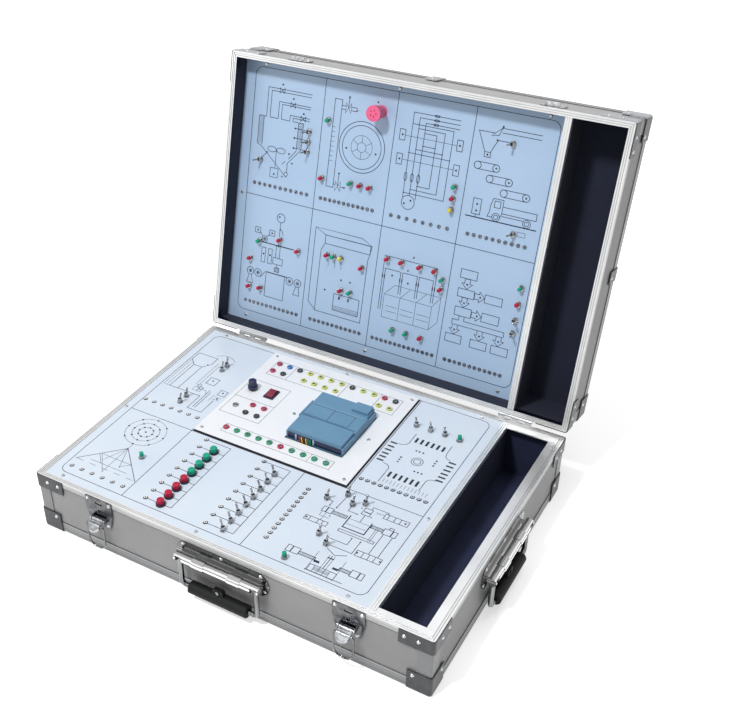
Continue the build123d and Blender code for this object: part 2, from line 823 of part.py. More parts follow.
# Trim round the storage space, and the rail between it and the panel
with BuildPart() as storage_frame:
    rail_y_range = (-inner_y, inner_y)
    add_block(base_frame, (rail_left, rail_right), rail_y_range, 0, rail_height)
    for groove_x in rail_grooves:
        x_range = (rail_left + groove_x, rail_left + groove_x + groove_width)
        add_block(base_frame, x_range, rail_y_range, 0, groove_depth, Mode.SUBTRACT)
    trim_x = (rail_right + mitre_kerf, half_w - rim_width)
    trim_top = -trim_drop
    add_block(base_frame, trim_x, (-inner_y, trim_front - inner_y), trim_top, trim_thickness)
    add_block(base_frame, trim_x, (inner_y - trim_rear, inner_y), trim_top, trim_thickness)
    side_x_range = (trim_x[1] - trim_side, trim_x[1])
    side_y_range = (trim_front - inner_y + mitre_kerf, inner_y - trim_rear - mitre_kerf)
    add_block(base_frame, side_x_range, side_y_range, trim_top, trim_thickness)
save(storage_frame.part, "storage_frame")


def make_lining(frame, depth, band_foot, name):
    """A cloth tray filling the storage space, and a band of cloth round a sunken panel."""
    floor_level = edge_flange_thickness + floor_thickness - depth
    x_range = (rail_left + board_thickness, half_w - wall_in)
    y_range = (wall_in - half_d, half_d - wall_in)
    inner_x_range = (x_range[0] + lining_thickness, x_range[1] - lining_thickness)
    inner_y_range = (y_range[0] + lining_thickness, y_range[1] - lining_thickness)
    top = -rim_height
    with BuildPart() as lining:
        add_block(frame, x_range, y_range, top, top - floor_level)
        inner_depth = top - floor_level - lining_thickness
        add_block(frame, inner_x_range, inner_y_range, top, inner_depth, Mode.SUBTRACT)
        if band_foot < top:
            band_x_range = (wall_in - half_w, rail_left - panel_gap)
            add_block(frame, band_x_range, y_range, top, top - band_foot)
            open_x_range = (band_x_range[0] + lining_thickness, rail_left)
            add_block(frame, open_x_range, inner_y_range, top, top - band_foot, Mode.SUBTRACT)
    save(lining.part, name)


make_lining(base_frame, base_depth, panel_top, "storage_lining")
make_lining(lid_frame, lid_depth, lid_panel_top, "lid_lining")

# Sockets of the controller module
second_row = [x for i, x in enumerate(jack_columns) if i not in jack_second_skips]
jacks = [(x, jack_rear_row) for x in jack_columns]
jacks += [(x, jack_second_row) for x in second_row]
jacks += [(x, y) for x in jack_pair_columns for y in jack_pair_rows]
jacks += [(jack_front_start[0] + jack_pitch * i, jack_front_start[1]) for i in range(jack_front_count)]
jacks += [chrome_jack_place]

with BuildPart() as module_plate:
    module_x, module_y = around(module_centre, module_size)
    add_block(base_frame, module_x, module_y, module_top, module_thickness)
    cut_x = (plc_corner[0] - plc_opening_gap, plc_corner[0] + plc_size[0] + plc_opening_gap)
    cut_y = (plc_corner[1] - plc_wire_slot, plc_corner[1] + plc_size[1] + plc_opening_gap)
    add_block(base_frame, cut_x, cut_y, module_top, module_thickness, Mode.SUBTRACT)
    add_rods(base_frame, jacks, jack_shank + socket_hole_gap, module_top, module_thickness, Mode.SUBTRACT)
    knob_hole = knob_neck_radius + socket_hole_gap
    add_rods(base_frame, [knob_place], knob_hole, module_top, module_thickness, Mode.SUBTRACT)
    rocker_x, rocker_y = around(rocker_place, (rocker_body[0] + plc_gap, rocker_body[1] + plc_gap))
    add_block(base_frame, rocker_x, rocker_y, module_top, module_thickness, Mode.SUBTRACT)
    cut_screws(base_frame, module_screws, module_top)
save(module_plate.part, "module_plate")

with BuildPart() as jack_sockets:
    add_rods(base_frame, jacks, jack_radius, module_top + jack_head, jack_head)
    add_rods(base_frame, jacks, jack_shank, module_top, jack_length)
    jack_hole = jack_length + jack_head - jack_floor
    add_rods(base_frame, jacks, jack_bore, module_top + jack_head, jack_hole, Mode.SUBTRACT)
save(jack_sockets.part, "jack_sockets")


def make_pins(frame, places, surface, name):
    """Small turned sockets pressed into a panel."""
    with BuildPart() as pins:
        add_rods(frame, places, pin_radius, surface + pin_head, pin_head)
        add_rods(frame, places, pin_shank, surface, pin_length)
        hole = pin_length + pin_head - pin_floor
        add_rods(frame, places, pin_bore, surface + pin_head, hole, Mode.SUBTRACT)
    save(pins.part, name)


make_pins(base_frame, base_pins, panel_top, "pin_sockets")
make_pins(lid_frame, lid_pins, lid_panel_top, "lid_pin_sockets")


def add_mini_bushes(frame, places, surface):
    """Chrome bushes of the small push buttons, each with its nut."""
    length = mini_bush_height + mini_bush_length
    add_rods(frame, places, mini_bush_radius, surface + mini_bush_height, length)
    add_rods(frame, places, mini_nut_radius, surface + mini_nut_height, mini_nut_height)
    under = surface - panel_thickness
    body_height = mini_bush_length - panel_thickness
    add_rods(frame, places, mini_body_radius, under, body_height)
    hole = length - mini_floor
    add_rods(frame, places, mini_cap_radius + mini_fit, surface + mini_bush_height, hole, Mode.SUBTRACT)


def add_mini_caps(frame, places, surface):
    """Coloured caps of the small push buttons."""
    length = mini_cap_height + mini_cap_sunk
    add_rods(frame, places, mini_cap_radius, surface + mini_cap_height, length)


def hexagons(frame, places, height, amount):
    """Hexagon nuts lying on a surface."""
    with BuildSketch(level(frame, height)) as nuts:
        with Locations(*places):
            RegularPolygon(toggle_nut_flats / 2, 6, major_radius=False)
    extrude(nuts.sketch, amount=amount)


def add_toggle_bodies(frame, places, surface, across):
    """Toggle switches: bush and nut above the panel, body below, and the lever's pin."""
    under = surface - panel_thickness
    body = (toggle_body[0], toggle_body[1]) if across else (toggle_body[1], toggle_body[0])
    for x, y in places:
        x_range, y_range = around((x, y), body)
        add_block(frame, x_range, y_range, under, toggle_body[2])
    length = toggle_bush_height + panel_thickness
    add_rods(frame, places, toggle_bush_radius, surface + toggle_bush_height, length)
    hexagons(frame, places, surface, toggle_nut_height)
    hole = toggle_bush_height - toggle_floor
    add_rods(frame, places, toggle_bore, surface + toggle_bush_height, hole, Mode.SUBTRACT)
    pivot = frame.x_dir if across else frame.y_dir
    for x, y in places:
        pin_at = place(frame, x, y, surface + toggle_pivot_height)
        add_cross_pin(pin_at, pivot, toggle_pin_radius, 2 * toggle_bore + toggle_pin_bite)


def add_cross_pin(place_at, along, radius, length, mode=Mode.ADD):
    """A pin lying along a direction, centred on a point."""
    with BuildSketch(Plane(origin=place_at, z_dir=along)) as pin:
        Circle(radius)
    extrude(pin.sketch, amount=length / 2, both=True, mode=mode)


def add_levers(frame, places, surface, across, tilt):
    """Toggle levers, leaning by an angle about their pins."""
    angle = math.radians(tilt)
    pivot = frame.x_dir if across else frame.y_dir
    lean = frame.y_dir if across else frame.x_dir
    direction = frame.z_dir * math.cos(angle) + lean * math.sin(angle)
    flare = math.degrees(math.atan((toggle_lever_tip - toggle_lever_root) / toggle_lever_length))
    for x, y in places:
        pin_at = place(frame, x, y, surface + toggle_pivot_height)
        add_cross_pin(pin_at, pivot, toggle_eye_radius, toggle_eye_width)
        with BuildSketch(Plane(origin=pin_at, z_dir=direction)) as stick:
            Circle(toggle_lever_root)
        extrude(stick.sketch, amount=toggle_lever_length, taper=-flare)
        with Locations(pin_at + direction * toggle_lever_length):
            Sphere(toggle_lever_tip)
    for x, y in places:
        pin_at = place(frame, x, y, surface + toggle_pivot_height)
        hole = toggle_pin_radius + toggle_pin_fit
        add_cross_pin(pin_at, pivot, hole, 2 * toggle_eye_width, Mode.SUBTRACT)


def make_levers(frame, places, surface, across, tilt, name):
    with BuildPart() as levers:
        add_levers(frame, places, surface, across, tilt)
    save(levers.part, name)


with BuildPart() as switch_bodies:
    barrel = button_barrel_length
    bezel_top = panel_top + button_bezel_height
    add_rods(base_frame, push_buttons, button_bezel_radius, bezel_top, button_bezel_height)
    add_rods(base_frame, push_buttons, button_barrel_radius, panel_top, barrel)
    bore = button_cap_radius + button_fit
    depth_bore = button_bezel_height + barrel - button_floor
    add_rods(base_frame, push_buttons, bore, bezel_top, depth_bore, Mode.SUBTRACT)
    add_rods(base_frame, [knob_place], knob_bush_radius, module_top + knob_bush_height, knob_bush_height)
    add_rods(base_frame, [knob_place], knob_neck_radius, module_top, module_thickness)
    under_module = module_top - module_thickness
    add_rods(base_frame, [knob_place], knob_bush_radius, under_module, knob_body_height)
    shaft_hole = knob_bush_height + module_thickness + knob_shaft_depth
    shaft_bore = knob_shaft_radius + knob_fit
    add_rods(base_frame, [knob_place], shaft_bore, module_top + knob_bush_height, shaft_hole, Mode.SUBTRACT)
    bezel_x, bezel_y = around(rocker_place, rocker_bezel)
    add_block(base_frame, bezel_x, bezel_y, module_top + rocker_bezel[2], rocker_bezel[2])
    body_x, body_y = around(rocker_place, rocker_body)
    add_block(base_frame, body_x, body_y, module_top, rocker_body[2])
    well_x, well_y = around(rocker_place, rocker_well)
    well_depth = rocker_bezel[2] + rocker_body[2] - rocker_floor
    add_block(base_frame, well_x, well_y, module_top + rocker_bezel[2], well_depth, Mode.SUBTRACT)
    rocker_pivot = place(base_frame, rocker_place[0], rocker_place[1], module_top - rocker_pivot_depth)
    add_cross_pin(rocker_pivot, base_frame.x_dir, rocker_pin_radius, rocker_body[0])
save(switch_bodies.part, "switch_bodies")

with BuildPart() as toggle_bodies:
    add_toggle_bodies(base_frame, bank_toggles + fixed_toggles, panel_top, False)
    add_toggle_bodies(base_frame, list(crossing_toggles), panel_top, True)
    add_mini_bushes(base_frame, start_buttons_at, panel_top)
    add_levers(base_frame, fixed_toggles, panel_top, False, toggle_tilt)
save(toggle_bodies.part, "toggle_bodies")

with BuildPart() as lid_switch_bodies:
    add_toggle_bodies(lid_frame, lid_toggles, lid_panel_top, False)
    add_mini_bushes(lid_frame, lid_buttons, lid_panel_top)
    add_levers(lid_frame, lid_fixed, lid_panel_top, False, -toggle_tilt)
save(lid_switch_bodies.part, "lid_switch_bodies")

make_levers(base_frame, bank_toggles, panel_top, False, -toggle_tilt, "bank_toggle_levers")
make_levers(base_frame, list(crossing_toggles), panel_top, True, -toggle_tilt, "rear_toggle_levers")
make_levers(lid_frame, lid_column, lid_panel_top, False, -toggle_tilt, "lid_toggle_levers")
make_levers(lid_frame, lid_pair, lid_panel_top, False, toggle_tilt, "lid_selector_levers")

with BuildPart() as start_buttons:
    add_mini_caps(base_frame, start_buttons_at, panel_top)
save(start_buttons.part, "start_buttons")

with BuildPart() as lid_push_buttons:
    add_mini_caps(lid_frame, lid_buttons, lid_panel_top)
save(lid_push_buttons.part, "lid_push_buttons")

for number, spot in enumerate(push_buttons):
    with BuildPart() as push_button:
        cap_length = button_cap_height + button_cap_sunk
        add_rods(base_frame, [spot], button_cap_radius, panel_top + button_cap_height, cap_length)
        crown = push_button.faces().sort_by(Axis.Z)[-1]
        fillet(crown.edges(), button_cap_round)
    save(push_button.part, f"push_button_{number + 1}")

# Speed knob and rocker
with BuildPart() as speed_knob:
    knob_foot = module_top + knob_bush_height + plc_gap
    add_rods(base_frame, [knob_place], knob_top_radius, knob_foot + knob_height, knob_height)
    knob_edge = speed_knob.faces().sort_by(Axis.Z)[-1]
    fillet(knob_edge.edges(), knob_round)
    add_rods(base_frame, [knob_place], knob_radius, knob_foot + knob_skirt_height, knob_skirt_height)
    pointer_x, pointer_y = around((knob_place[0], knob_place[1] + knob_top_radius / 2), knob_pointer)
    add_block(base_frame, pointer_x, pointer_y, knob_foot + knob_height, knob_pointer_depth, Mode.SUBTRACT)
    add_rods(base_frame, [knob_place], knob_shaft_radius, knob_foot, knob_foot - module_top + knob_shaft_sunk)
save(speed_knob.part, "speed_knob")

tilted = Plane(origin=rocker_pivot, x_dir=base_frame.x_dir, z_dir=base_frame.z_dir)
tilted = tilted.rotated((rocker_tilt, 0, 0))
with BuildPart() as rocker:
    with BuildSketch(tilted.offset(rocker_above)):
        Rectangle(rocker_cap[0], rocker_cap[1])
    extrude(amount=-rocker_cap[2])
    rocker_bore = rocker_pin_radius + rocker_fit
    add_cross_pin(rocker_pivot, base_frame.x_dir, rocker_bore, rocker_body[0], Mode.SUBTRACT)
save(rocker.part, "rocker")

# Controller housing with two hinged terminal covers
plc_x = (plc_corner[0], plc_corner[0] + plc_size[0])
plc_front = plc_corner[1]
plc_back = plc_corner[1] + plc_size[1]
front_pivot_y = plc_front + plc_front_cover - plc_hinge_radius
rear_pivot_y = plc_front + plc_front_cover + plc_middle + plc_hinge_radius
cover_x = (plc_x[0] + plc_lug + plc_gap, plc_x[1] - plc_lug - plc_gap)
pivot_z = plc_top - plc_hinge_radius
ledge = plc_top - plc_cover_height
with BuildPart() as plc_body:
    add_block(base_frame, plc_x, (plc_front, plc_back), ledge, plc_size[2] - plc_cover_height)
    middle_y = (plc_front + plc_front_cover + plc_gap, rear_pivot_y - plc_hinge_radius - plc_gap)
    add_block(base_frame, plc_x, middle_y, plc_top, plc_cover_height)
    for pivot_y, sign in ((front_pivot_y, -1), (rear_pivot_y, 1)):
        lug_y = (pivot_y - plc_hinge_radius, pivot_y + plc_hinge_radius)
        lug_y = (lug_y[0], middle_y[0]) if sign < 0 else (middle_y[1], lug_y[1])
        for start_x in (plc_x[0], plc_x[1] - plc_lug):
            add_block(base_frame, (start_x, start_x + plc_lug), lug_y, plc_top, plc_cover_height)
        reach = plc_front + plc_terminal_edge if sign < 0 else plc_back - plc_terminal_edge
        pocket_y = sorted((reach, pivot_y + sign * plc_terminal_edge))
        pocket_x = (cover_x[0] + plc_terminal_edge, cover_x[1] - plc_terminal_edge)
        add_block(base_frame, pocket_x, pocket_y, ledge, plc_terminal_depth, Mode.SUBTRACT)
        row_y = sum(pocket_y) / 2
        pitch = (pocket_x[1] - pocket_x[0]) / plc_terminals
        row = [(pocket_x[0] + pitch * (i + 0.5), row_y) for i in range(plc_terminals)]
        terminal_top = ledge - plc_terminal_depth + plc_terminal_height
        add_rods(base_frame, row, plc_terminal_radius, terminal_top, plc_terminal_height)
        pin_middle = place(base_frame, sum(plc_x) / 2, pivot_y, pivot_z)
        add_cross_pin(pin_middle, base_frame.x_dir, plc_pin_radius, plc_size[0] - plc_lug)
save(plc_body.part, "plc_body")


def make_cover(pivot_y, outer_y, pad, name):
    """A terminal cover with a rounded hinge edge."""
    sign = 1 if outer_y > pivot_y else -1
    with BuildPart() as cover:
        y_range = sorted((pivot_y, outer_y - sign * plc_gap))
        add_block(base_frame, cover_x, y_range, plc_top, plc_cover_height - plc_gap)
        heel_y = sorted((pivot_y, pivot_y + sign * plc_hinge_radius))
        heel_height = plc_cover_height - plc_gap - 2 * plc_hinge_radius
        if heel_height > 0:
            add_block(base_frame, cover_x, heel_y, plc_top - 2 * plc_hinge_radius, heel_height, Mode.SUBTRACT)
        middle = place(base_frame, sum(cover_x) / 2, pivot_y, pivot_z)
        add_cross_pin(middle, base_frame.x_dir, plc_hinge_radius, cover_x[1] - cover_x[0])
        if pad:
            add_block(base_frame, pad[0], pad[1], plc_top + plc_pad_height, plc_pad_height)
        add_cross_pin(middle, base_frame.x_dir, plc_pin_radius + hinge_fit, plc_size[0], Mode.SUBTRACT)
    save(cover.part, name)


make_cover(front_pivot_y, plc_front, None, "plc_front_cover")
make_cover(rear_pivot_y, plc_back, plc_pad, "plc_rear_cover")

# Power supply and the circuit boards
with BuildPart() as power_supply:
    psu_x = (psu_corner[0], psu_corner[0] + psu_size[0])
    psu_y = (psu_corner[1], psu_corner[1] + psu_size[1])
    psu_top = base_floor + psu_size[2]
    add_block(base_frame, psu_x, psu_y, psu_top, psu_size[2])
    for i in range(psu_slots):
        slot_left = psu_x[0] + psu_slot_start + psu_slot_pitch * i
        slot_x = (slot_left, slot_left + psu_slot_width)
        slot_y = (psu_y[0] + psu_slot_start, psu_y[1] - psu_slot_start)
        add_block(base_frame, slot_x, slot_y, psu_top, psu_slot_depth, Mode.SUBTRACT)
save(power_supply.part, "power_supply")


def make_circuit(frame, board, under, name):
    """A circuit board hung from its panel on four spacers."""
    x0, x1, y0, y1 = board
    post_columns = (x0 + circuit_inset, x1 - circuit_inset)
    post_rows = (y0 + circuit_inset, y1 - circuit_inset)
    posts = [(x, y) for x in post_columns for y in post_rows]
    with BuildPart() as circuit:
        add_block(frame, (x0, x1), (y0, y1), under - circuit_drop, circuit_thickness)
        add_rods(frame, posts, circuit_post_radius, under, circuit_drop)
    save(circuit.part, name)


make_circuit(base_frame, base_circuit, under_panel, "circuit_board")
make_circuit(lid_frame, lid_circuit, lid_under_panel, "lid_circuit_board")

# The sounder in the lid: nut, tapered horn and its perforated face
with BuildPart() as alarm_sounder:
    horn_foot = lid_panel_top + sounder_nut_height
    add_rods(lid_frame, [sounder_at], sounder_nut_radius, horn_foot, sounder_nut_height)
    add_rods(lid_frame, [sounder_at], sounder_shank_radius, lid_panel_top, sounder_shank_length)
    horn_length = sounder_height - sounder_nut_height - sounder_rim
    with BuildSketch(level(lid_frame, horn_foot)):
        with Locations(sounder_at):
            Circle(sounder_base_radius)
    horn_flare = math.degrees(math.atan((sounder_top_radius - sounder_base_radius) / horn_length))
    extrude(amount=horn_length, taper=-horn_flare)
    face_top = lid_panel_top + sounder_height
    add_rods(lid_frame, [sounder_at], sounder_top_radius, face_top, sounder_rim)
    with BuildSketch(level(lid_frame, face_top)):
        with Locations(sounder_at):
            with PolarLocations(sounder_hole_ring, sounder_holes):
                Circle(sounder_hole_radius)
    extrude(amount=-sounder_hole_depth, mode=Mode.SUBTRACT)
save(alarm_sounder.part, "alarm_sounder")

with BuildPart() as base_fasteners:
    add_rivets(base_frame, base_rivets)
    add_screws(base_frame, base_screws, panel_top)
    add_screws(base_frame, module_screws, module_top)
save(base_fasteners.part, "base_fasteners")

with BuildPart() as lid_fasteners:
    add_rivets(lid_frame, lid_rivets)
    add_screws(lid_frame, lid_screws, lid_panel_top)
save(lid_fasteners.part, "lid_fasteners")


def add_wall_block(frame, side, x_range, y_range, out, thickness, mode=Mode.ADD):
    """A block lying on a wall, its places measured along and up the wall."""
    with BuildSketch(wall_plane(frame, side, out)) as block:
        with Locations((sum(x_range) / 2, sum(y_range) / 2)):
            Rectangle(x_range[1] - x_range[0], y_range[1] - y_range[0])
    extrude(block.sketch, amount=thickness, mode=mode)


def wall_point(frame, side, x, y, out):
    """A point beside a wall in the shared frame."""
    surface = wall_plane(frame, side, out)
    return surface.origin + surface.x_dir * x + surface.y_dir * y


def make_leaves(frame, side, rivets, axis_rise, own, rim_side, name):
    """Two hinge leaves with their knuckles on one wall."""
    pitch = hinge_span / hinge_knuckles
    barrel_edge = axis_rise + rim_side * (hinge_barrel_radius + hinge_knuckle_gap)
    with BuildPart() as leaves:
        for hinge_side in (-1, 1):
            middle = hinge_side * hinge_x
            span = (middle - hinge_span / 2, middle + hinge_span / 2)
            plate_top = min(0, barrel_edge)
            plate = (-hinge_leaf_length, plate_top)
            add_wall_block(frame, side, span, plate, 0, hinge_leaf_thickness)
            for i in range(hinge_knuckles):
                if (i % 2 == 0) != own:
                    continue
                low = span[0] + pitch * i + hinge_knuckle_gap / 2
                high = span[0] + pitch * (i + 1) - hinge_knuckle_gap / 2
                neck = (plate_top, axis_rise)
                neck_out = hinge_knuckle_gap if own else 0
                neck_thickness = hinge_leaf_thickness - neck_out
                add_wall_block(frame, side, (low, high), neck, neck_out, neck_thickness)
                centre = wall_point(frame, side, (low + high) / 2, axis_rise, hinge_offset)
                add_cross_pin(centre, frame.x_dir, hinge_barrel_radius, high - low)
            centre = wall_point(frame, side, middle, axis_rise, hinge_offset)
            if own:
                add_cross_pin(centre, frame.x_dir, hinge_pin_radius, hinge_span)
            else:
                bore = hinge_pin_radius + hinge_fit
                add_cross_pin(centre, frame.x_dir, bore, 2 * hinge_span, Mode.SUBTRACT)
        cut_rivets(frame, rivets)
    save(leaves.part, name)


make_leaves(base_frame, "rear", base_rivets, hinge_rise, True, -1, "base_hinge_leaves")
make_leaves(lid_frame, "front", lid_rivets, -hinge_rise, False, -1, "lid_hinge_leaves")

# Draw latches: a plate with two ears, a lever on their pin and a wire loop on the lever
latch_pivot_y = latch_pivot_z - base_height
plate_top_y = latch_top - base_height
ear_reach = latch_ear_gap / 2 + latch_ear_thickness
with BuildPart() as latch_plates:
    for latch_x in latch_places:
        with BuildSketch(wall_plane(base_frame, "front")) as plate:
            with BuildLine():
                half_top = latch_width / 2
                half_foot = latch_foot_width / 2
                shoulder_y = plate_top_y - latch_shoulder
                foot_y = plate_top_y - latch_height
                Polyline(
                    (latch_x - half_top, plate_top_y),
                    (latch_x + half_top, plate_top_y),
                    (latch_x + half_top, shoulder_y),
                    (latch_x + half_foot, foot_y),
                    (latch_x - half_foot, foot_y),
                    (latch_x - half_top, shoulder_y),
                    close=True,
                )
            make_face()
            fillet(plate.vertices(), latch_corner)
            with Locations((latch_x, plate_top_y - latch_slot_drop)):
                SlotOverall(latch_slot[0], latch_slot[1], mode=Mode.SUBTRACT)
            with Locations((latch_x, plate_top_y - latch_hole_drop)):
                Circle(latch_hole_radius, mode=Mode.SUBTRACT)
        extrude(amount=latch_plate_thickness)
        for side in (-1, 1):
            ear_x = sorted((latch_x + side * latch_ear_gap / 2, latch_x + side * ear_reach))
            ear_y = (latch_pivot_y - latch_ear_radius, latch_pivot_y + latch_ear_radius)
            rise = latch_pivot_out - latch_plate_thickness
            add_wall_block(base_frame, "front", ear_x, ear_y, latch_plate_thickness, rise)
            ear_middle = wall_point(base_frame, "front", sum(ear_x) / 2, latch_pivot_y, latch_pivot_out)
            add_cross_pin(ear_middle, base_frame.x_dir, latch_ear_radius, latch_ear_thickness)
        pivot = wall_point(base_frame, "front", latch_x, latch_pivot_y, latch_pivot_out)
        add_cross_pin(pivot, base_frame.x_dir, latch_pin_radius, 2 * ear_reach)
    cut_rivets(base_frame, base_rivets)
save(latch_plates.part, "latch_plates")

lever_lean = math.radians(lever_angle)
lever_direction = base_frame.z_dir * -math.cos(lever_lean) + base_frame.y_dir * -math.sin(lever_lean)


def make_latch(latch_x, side_name):
    """The lever and the wire loop of one draw latch."""
    pivot = wall_point(base_frame, "front", latch_x, latch_pivot_y, latch_pivot_out)
    loop_pivot = pivot + lever_direction * loop_arm
    straight = lever_length - lever_width / 2
    tongue_plane = Plane(origin=pivot, x_dir=base_frame.x_dir, z_dir=base_frame.x_dir.cross(lever_direction))
    with BuildPart() as lever:
        add_cross_pin(pivot, base_frame.x_dir, lever_eye_radius, lever_width)
        add_cross_pin(loop_pivot, base_frame.x_dir, loop_eye_radius, lever_width)
        with BuildSketch(tongue_plane):
            with Locations((0, straight / 2)):
                Rectangle(lever_width, straight)
            with Locations((0, straight)):
                Circle(lever_width / 2)
        extrude(amount=lever_thickness / 2, both=True)
        with BuildSketch(tongue_plane):
            with Locations((0, straight)):
                Circle(lever_width / 2)
                Circle(lever_width / 2 - lever_lip_thickness, mode=Mode.SUBTRACT)
            with Locations((0, straight - lever_width / 2)):
                Rectangle(2 * lever_width, lever_width, mode=Mode.SUBTRACT)
        extrude(amount=lever_lip)
        add_cross_pin(pivot, base_frame.x_dir, latch_pin_radius + latch_fit, 2 * lever_width, Mode.SUBTRACT)
        add_cross_pin(loop_pivot, base_frame.x_dir, loop_wire + latch_fit, 2 * lever_width, Mode.SUBTRACT)
    save(lever.part, f"latch_lever_{side_name}")
    loop_plane = Plane(origin=loop_pivot, x_dir=base_frame.x_dir, z_dir=base_frame.y_dir * -1)
    half = loop_width / 2
    with BuildPart() as loop:
        with BuildLine(loop_plane) as path:
            middle = -loop_length / 2
            FilletPolyline((loop_seam, 0), (half, 0), (half, middle), radius=loop_bend)
            FilletPolyline(
                (half, middle),
                (half, -loop_length),
                (-half, -loop_length),
                (-half, middle),
                radius=loop_round,
            )
            FilletPolyline((-half, middle), (-half, 0), (-loop_seam, 0), radius=loop_bend)
        seam_at = loop_pivot + base_frame.x_dir * loop_seam
        with BuildSketch(Plane(origin=seam_at, z_dir=base_frame.x_dir)):
            Circle(loop_wire)
        sweep()
    save(loop.part, f"latch_loop_{side_name}")


make_latch(latch_places[0], "left")
make_latch(latch_places[1], "right")

with BuildPart() as latch_keepers:
    for latch_x in latch_places:
        x = mirrored("rear", latch_x)
        plate_x = (x - keeper_width / 2, x + keeper_width / 2)
        plate_y = (-keeper_drop - keeper_height, -keeper_drop)
        add_wall_block(lid_frame, "rear", plate_x, plate_y, 0, latch_plate_thickness)
        hook_x = (x - keeper_hook_width / 2, x + keeper_hook_width / 2)
        hook_y = (-keeper_hook_drop - latch_ear_thickness, -keeper_hook_drop)
        rise = keeper_hook - latch_plate_thickness
        add_wall_block(lid_frame, "rear", hook_x, hook_y, latch_plate_thickness, rise)
        lip_y = (hook_y[0] - keeper_lip, hook_y[0])
        lip_out = keeper_hook - latch_plate_thickness
        add_wall_block(lid_frame, "rear", hook_x, lip_y, lip_out, latch_plate_thickness)
    cut_rivets(lid_frame, lid_rivets)
save(latch_keepers.part, "latch_keepers")

# Carrying handles: a plate with a rolled tube, and a bail with a rubber grip
handle_walls = (("front", front_handle_x), ("right", side_handle_y))
handle_plate_y = handle_drop - handle_plate_lower
slot_start = bail_leg_gap / 2 - bail_bend - handle_slot_gap
slot_end = bail_leg_gap / 2 + bail_wire + handle_slot_gap
with BuildPart() as handle_plates:
    for side, middle in handle_walls:
        with BuildSketch(wall_plane(base_frame, side, -skin)) as backing:
            with Locations((middle, handle_plate_y)):
                RectangleRounded(handle_plate[0], handle_plate[1], handle_plate[1] / 2 - mitre_kerf)
        extrude(amount=handle_plate[2])
        saddle_x = (middle - handle_saddle[0] / 2, middle + handle_saddle[0] / 2)
        saddle_y = (handle_drop - handle_saddle[1] / 2, handle_drop + handle_saddle[1] / 2)
        add_wall_block(base_frame, side, saddle_x, saddle_y, handle_surface, handle_out - handle_surface)
        along = wall_plane(base_frame, side).x_dir
        axis_at = wall_point(base_frame, side, middle, handle_drop, handle_out)
        add_cross_pin(axis_at, along, handle_tube_radius, handle_tube_length)
        for end in (-1, 1):
            collar_at = axis_at + along * end * handle_collar_place
            add_cross_pin(collar_at, along, handle_collar_radius, handle_collar_length)
        for end in (-1, 1):
            slot_x = sorted((middle + end * slot_start, middle + end * slot_end))
            slot_low = handle_drop - handle_collar_radius - bail_wire
            slot_y = (slot_low, handle_drop + bail_wire + handle_slot_gap)
            slot_out = handle_out - bail_wire - handle_slot_gap
            add_wall_block(base_frame, side, slot_x, slot_y, slot_out, 2 * handle_tube_radius, Mode.SUBTRACT)
        add_cross_pin(axis_at, along, bail_wire + bail_fit, 2 * slot_end, Mode.SUBTRACT)
    cut_rivets(base_frame, base_rivets)
save(handle_plates.part, "handle_plates")


def make_bail(side, middle, name):
    """The bail of one handle with the rivet of its grip, and the grip itself."""
    surface = wall_plane(base_frame, side, handle_out)
    axis_at = wall_point(base_frame, side, middle, handle_drop, handle_out)
    bail_plane = Plane(origin=axis_at, x_dir=surface.x_dir, z_dir=surface.z_dir)
    half = bail_leg_gap / 2
    stub = half - bail_stub
    grip_at = axis_at - surface.y_dir * bail_drop
    ear_y = grip_radius + grip_ear[1] / 2
    rivet_at = grip_at + surface.y_dir * ear_y
    with BuildPart() as bail:
        with BuildLine(bail_plane) as path:
            FilletPolyline(
                (stub, 0),
                (half, 0),
                (half, -bail_drop),
                (-half, -bail_drop),
                (-half, 0),
                (-stub, 0),
                radius=bail_bend,
            )
        with BuildSketch(Plane(origin=path.line @ 0, z_dir=path.line % 0)):
            Circle(bail_wire)
        sweep()
        add_cross_pin(rivet_at, surface.z_dir, rivet_shank_radius, grip_ear[2])
        for end in (-1, 1):
            head_at = rivet_at + surface.z_dir * end * (grip_ear[2] + rivet_head_height) / 2
            add_cross_pin(head_at, surface.z_dir, rivet_head_radius, rivet_head_height)
    save(bail.part, f"{name}_bail")
    with BuildPart() as grip:
        add_cross_pin(grip_at, surface.x_dir, grip_radius, grip_length)
        grip_ends = grip.faces().filter_by(GeomType.PLANE)
        fillet(grip_ends.edges(), grip_round)
        with BuildSketch(Plane(origin=grip_at, x_dir=surface.x_dir, z_dir=surface.z_dir)):
            with Locations((0, (grip_radius + grip_ear[1]) / 2)):
                Rectangle(grip_ear[0], grip_radius + grip_ear[1])
        extrude(amount=grip_ear[2] / 2, both=True)
        upright = grip.edges().filter_by(Axis((0, 0, 0), surface.z_dir))
        upright = upright.sort_by(Axis((0, 0, 0), surface.y_dir))
        fillet(upright[-2:], grip_ear[0] / 4)
        add_cross_pin(grip_at, surface.x_dir, bail_wire, 2 * grip_length, Mode.SUBTRACT)
        hole = rivet_shank_radius + rivet_clearance
        add_cross_pin(rivet_at, surface.z_dir, hole, 2 * grip_ear[2], Mode.SUBTRACT)
    save(grip.part, f"{name}_grip")


make_bail("front", front_handle_x, "front")
make_bail("right", side_handle_y, "side")
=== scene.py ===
import math

import bmesh
import bpy
from mathutils import Matrix, Vector


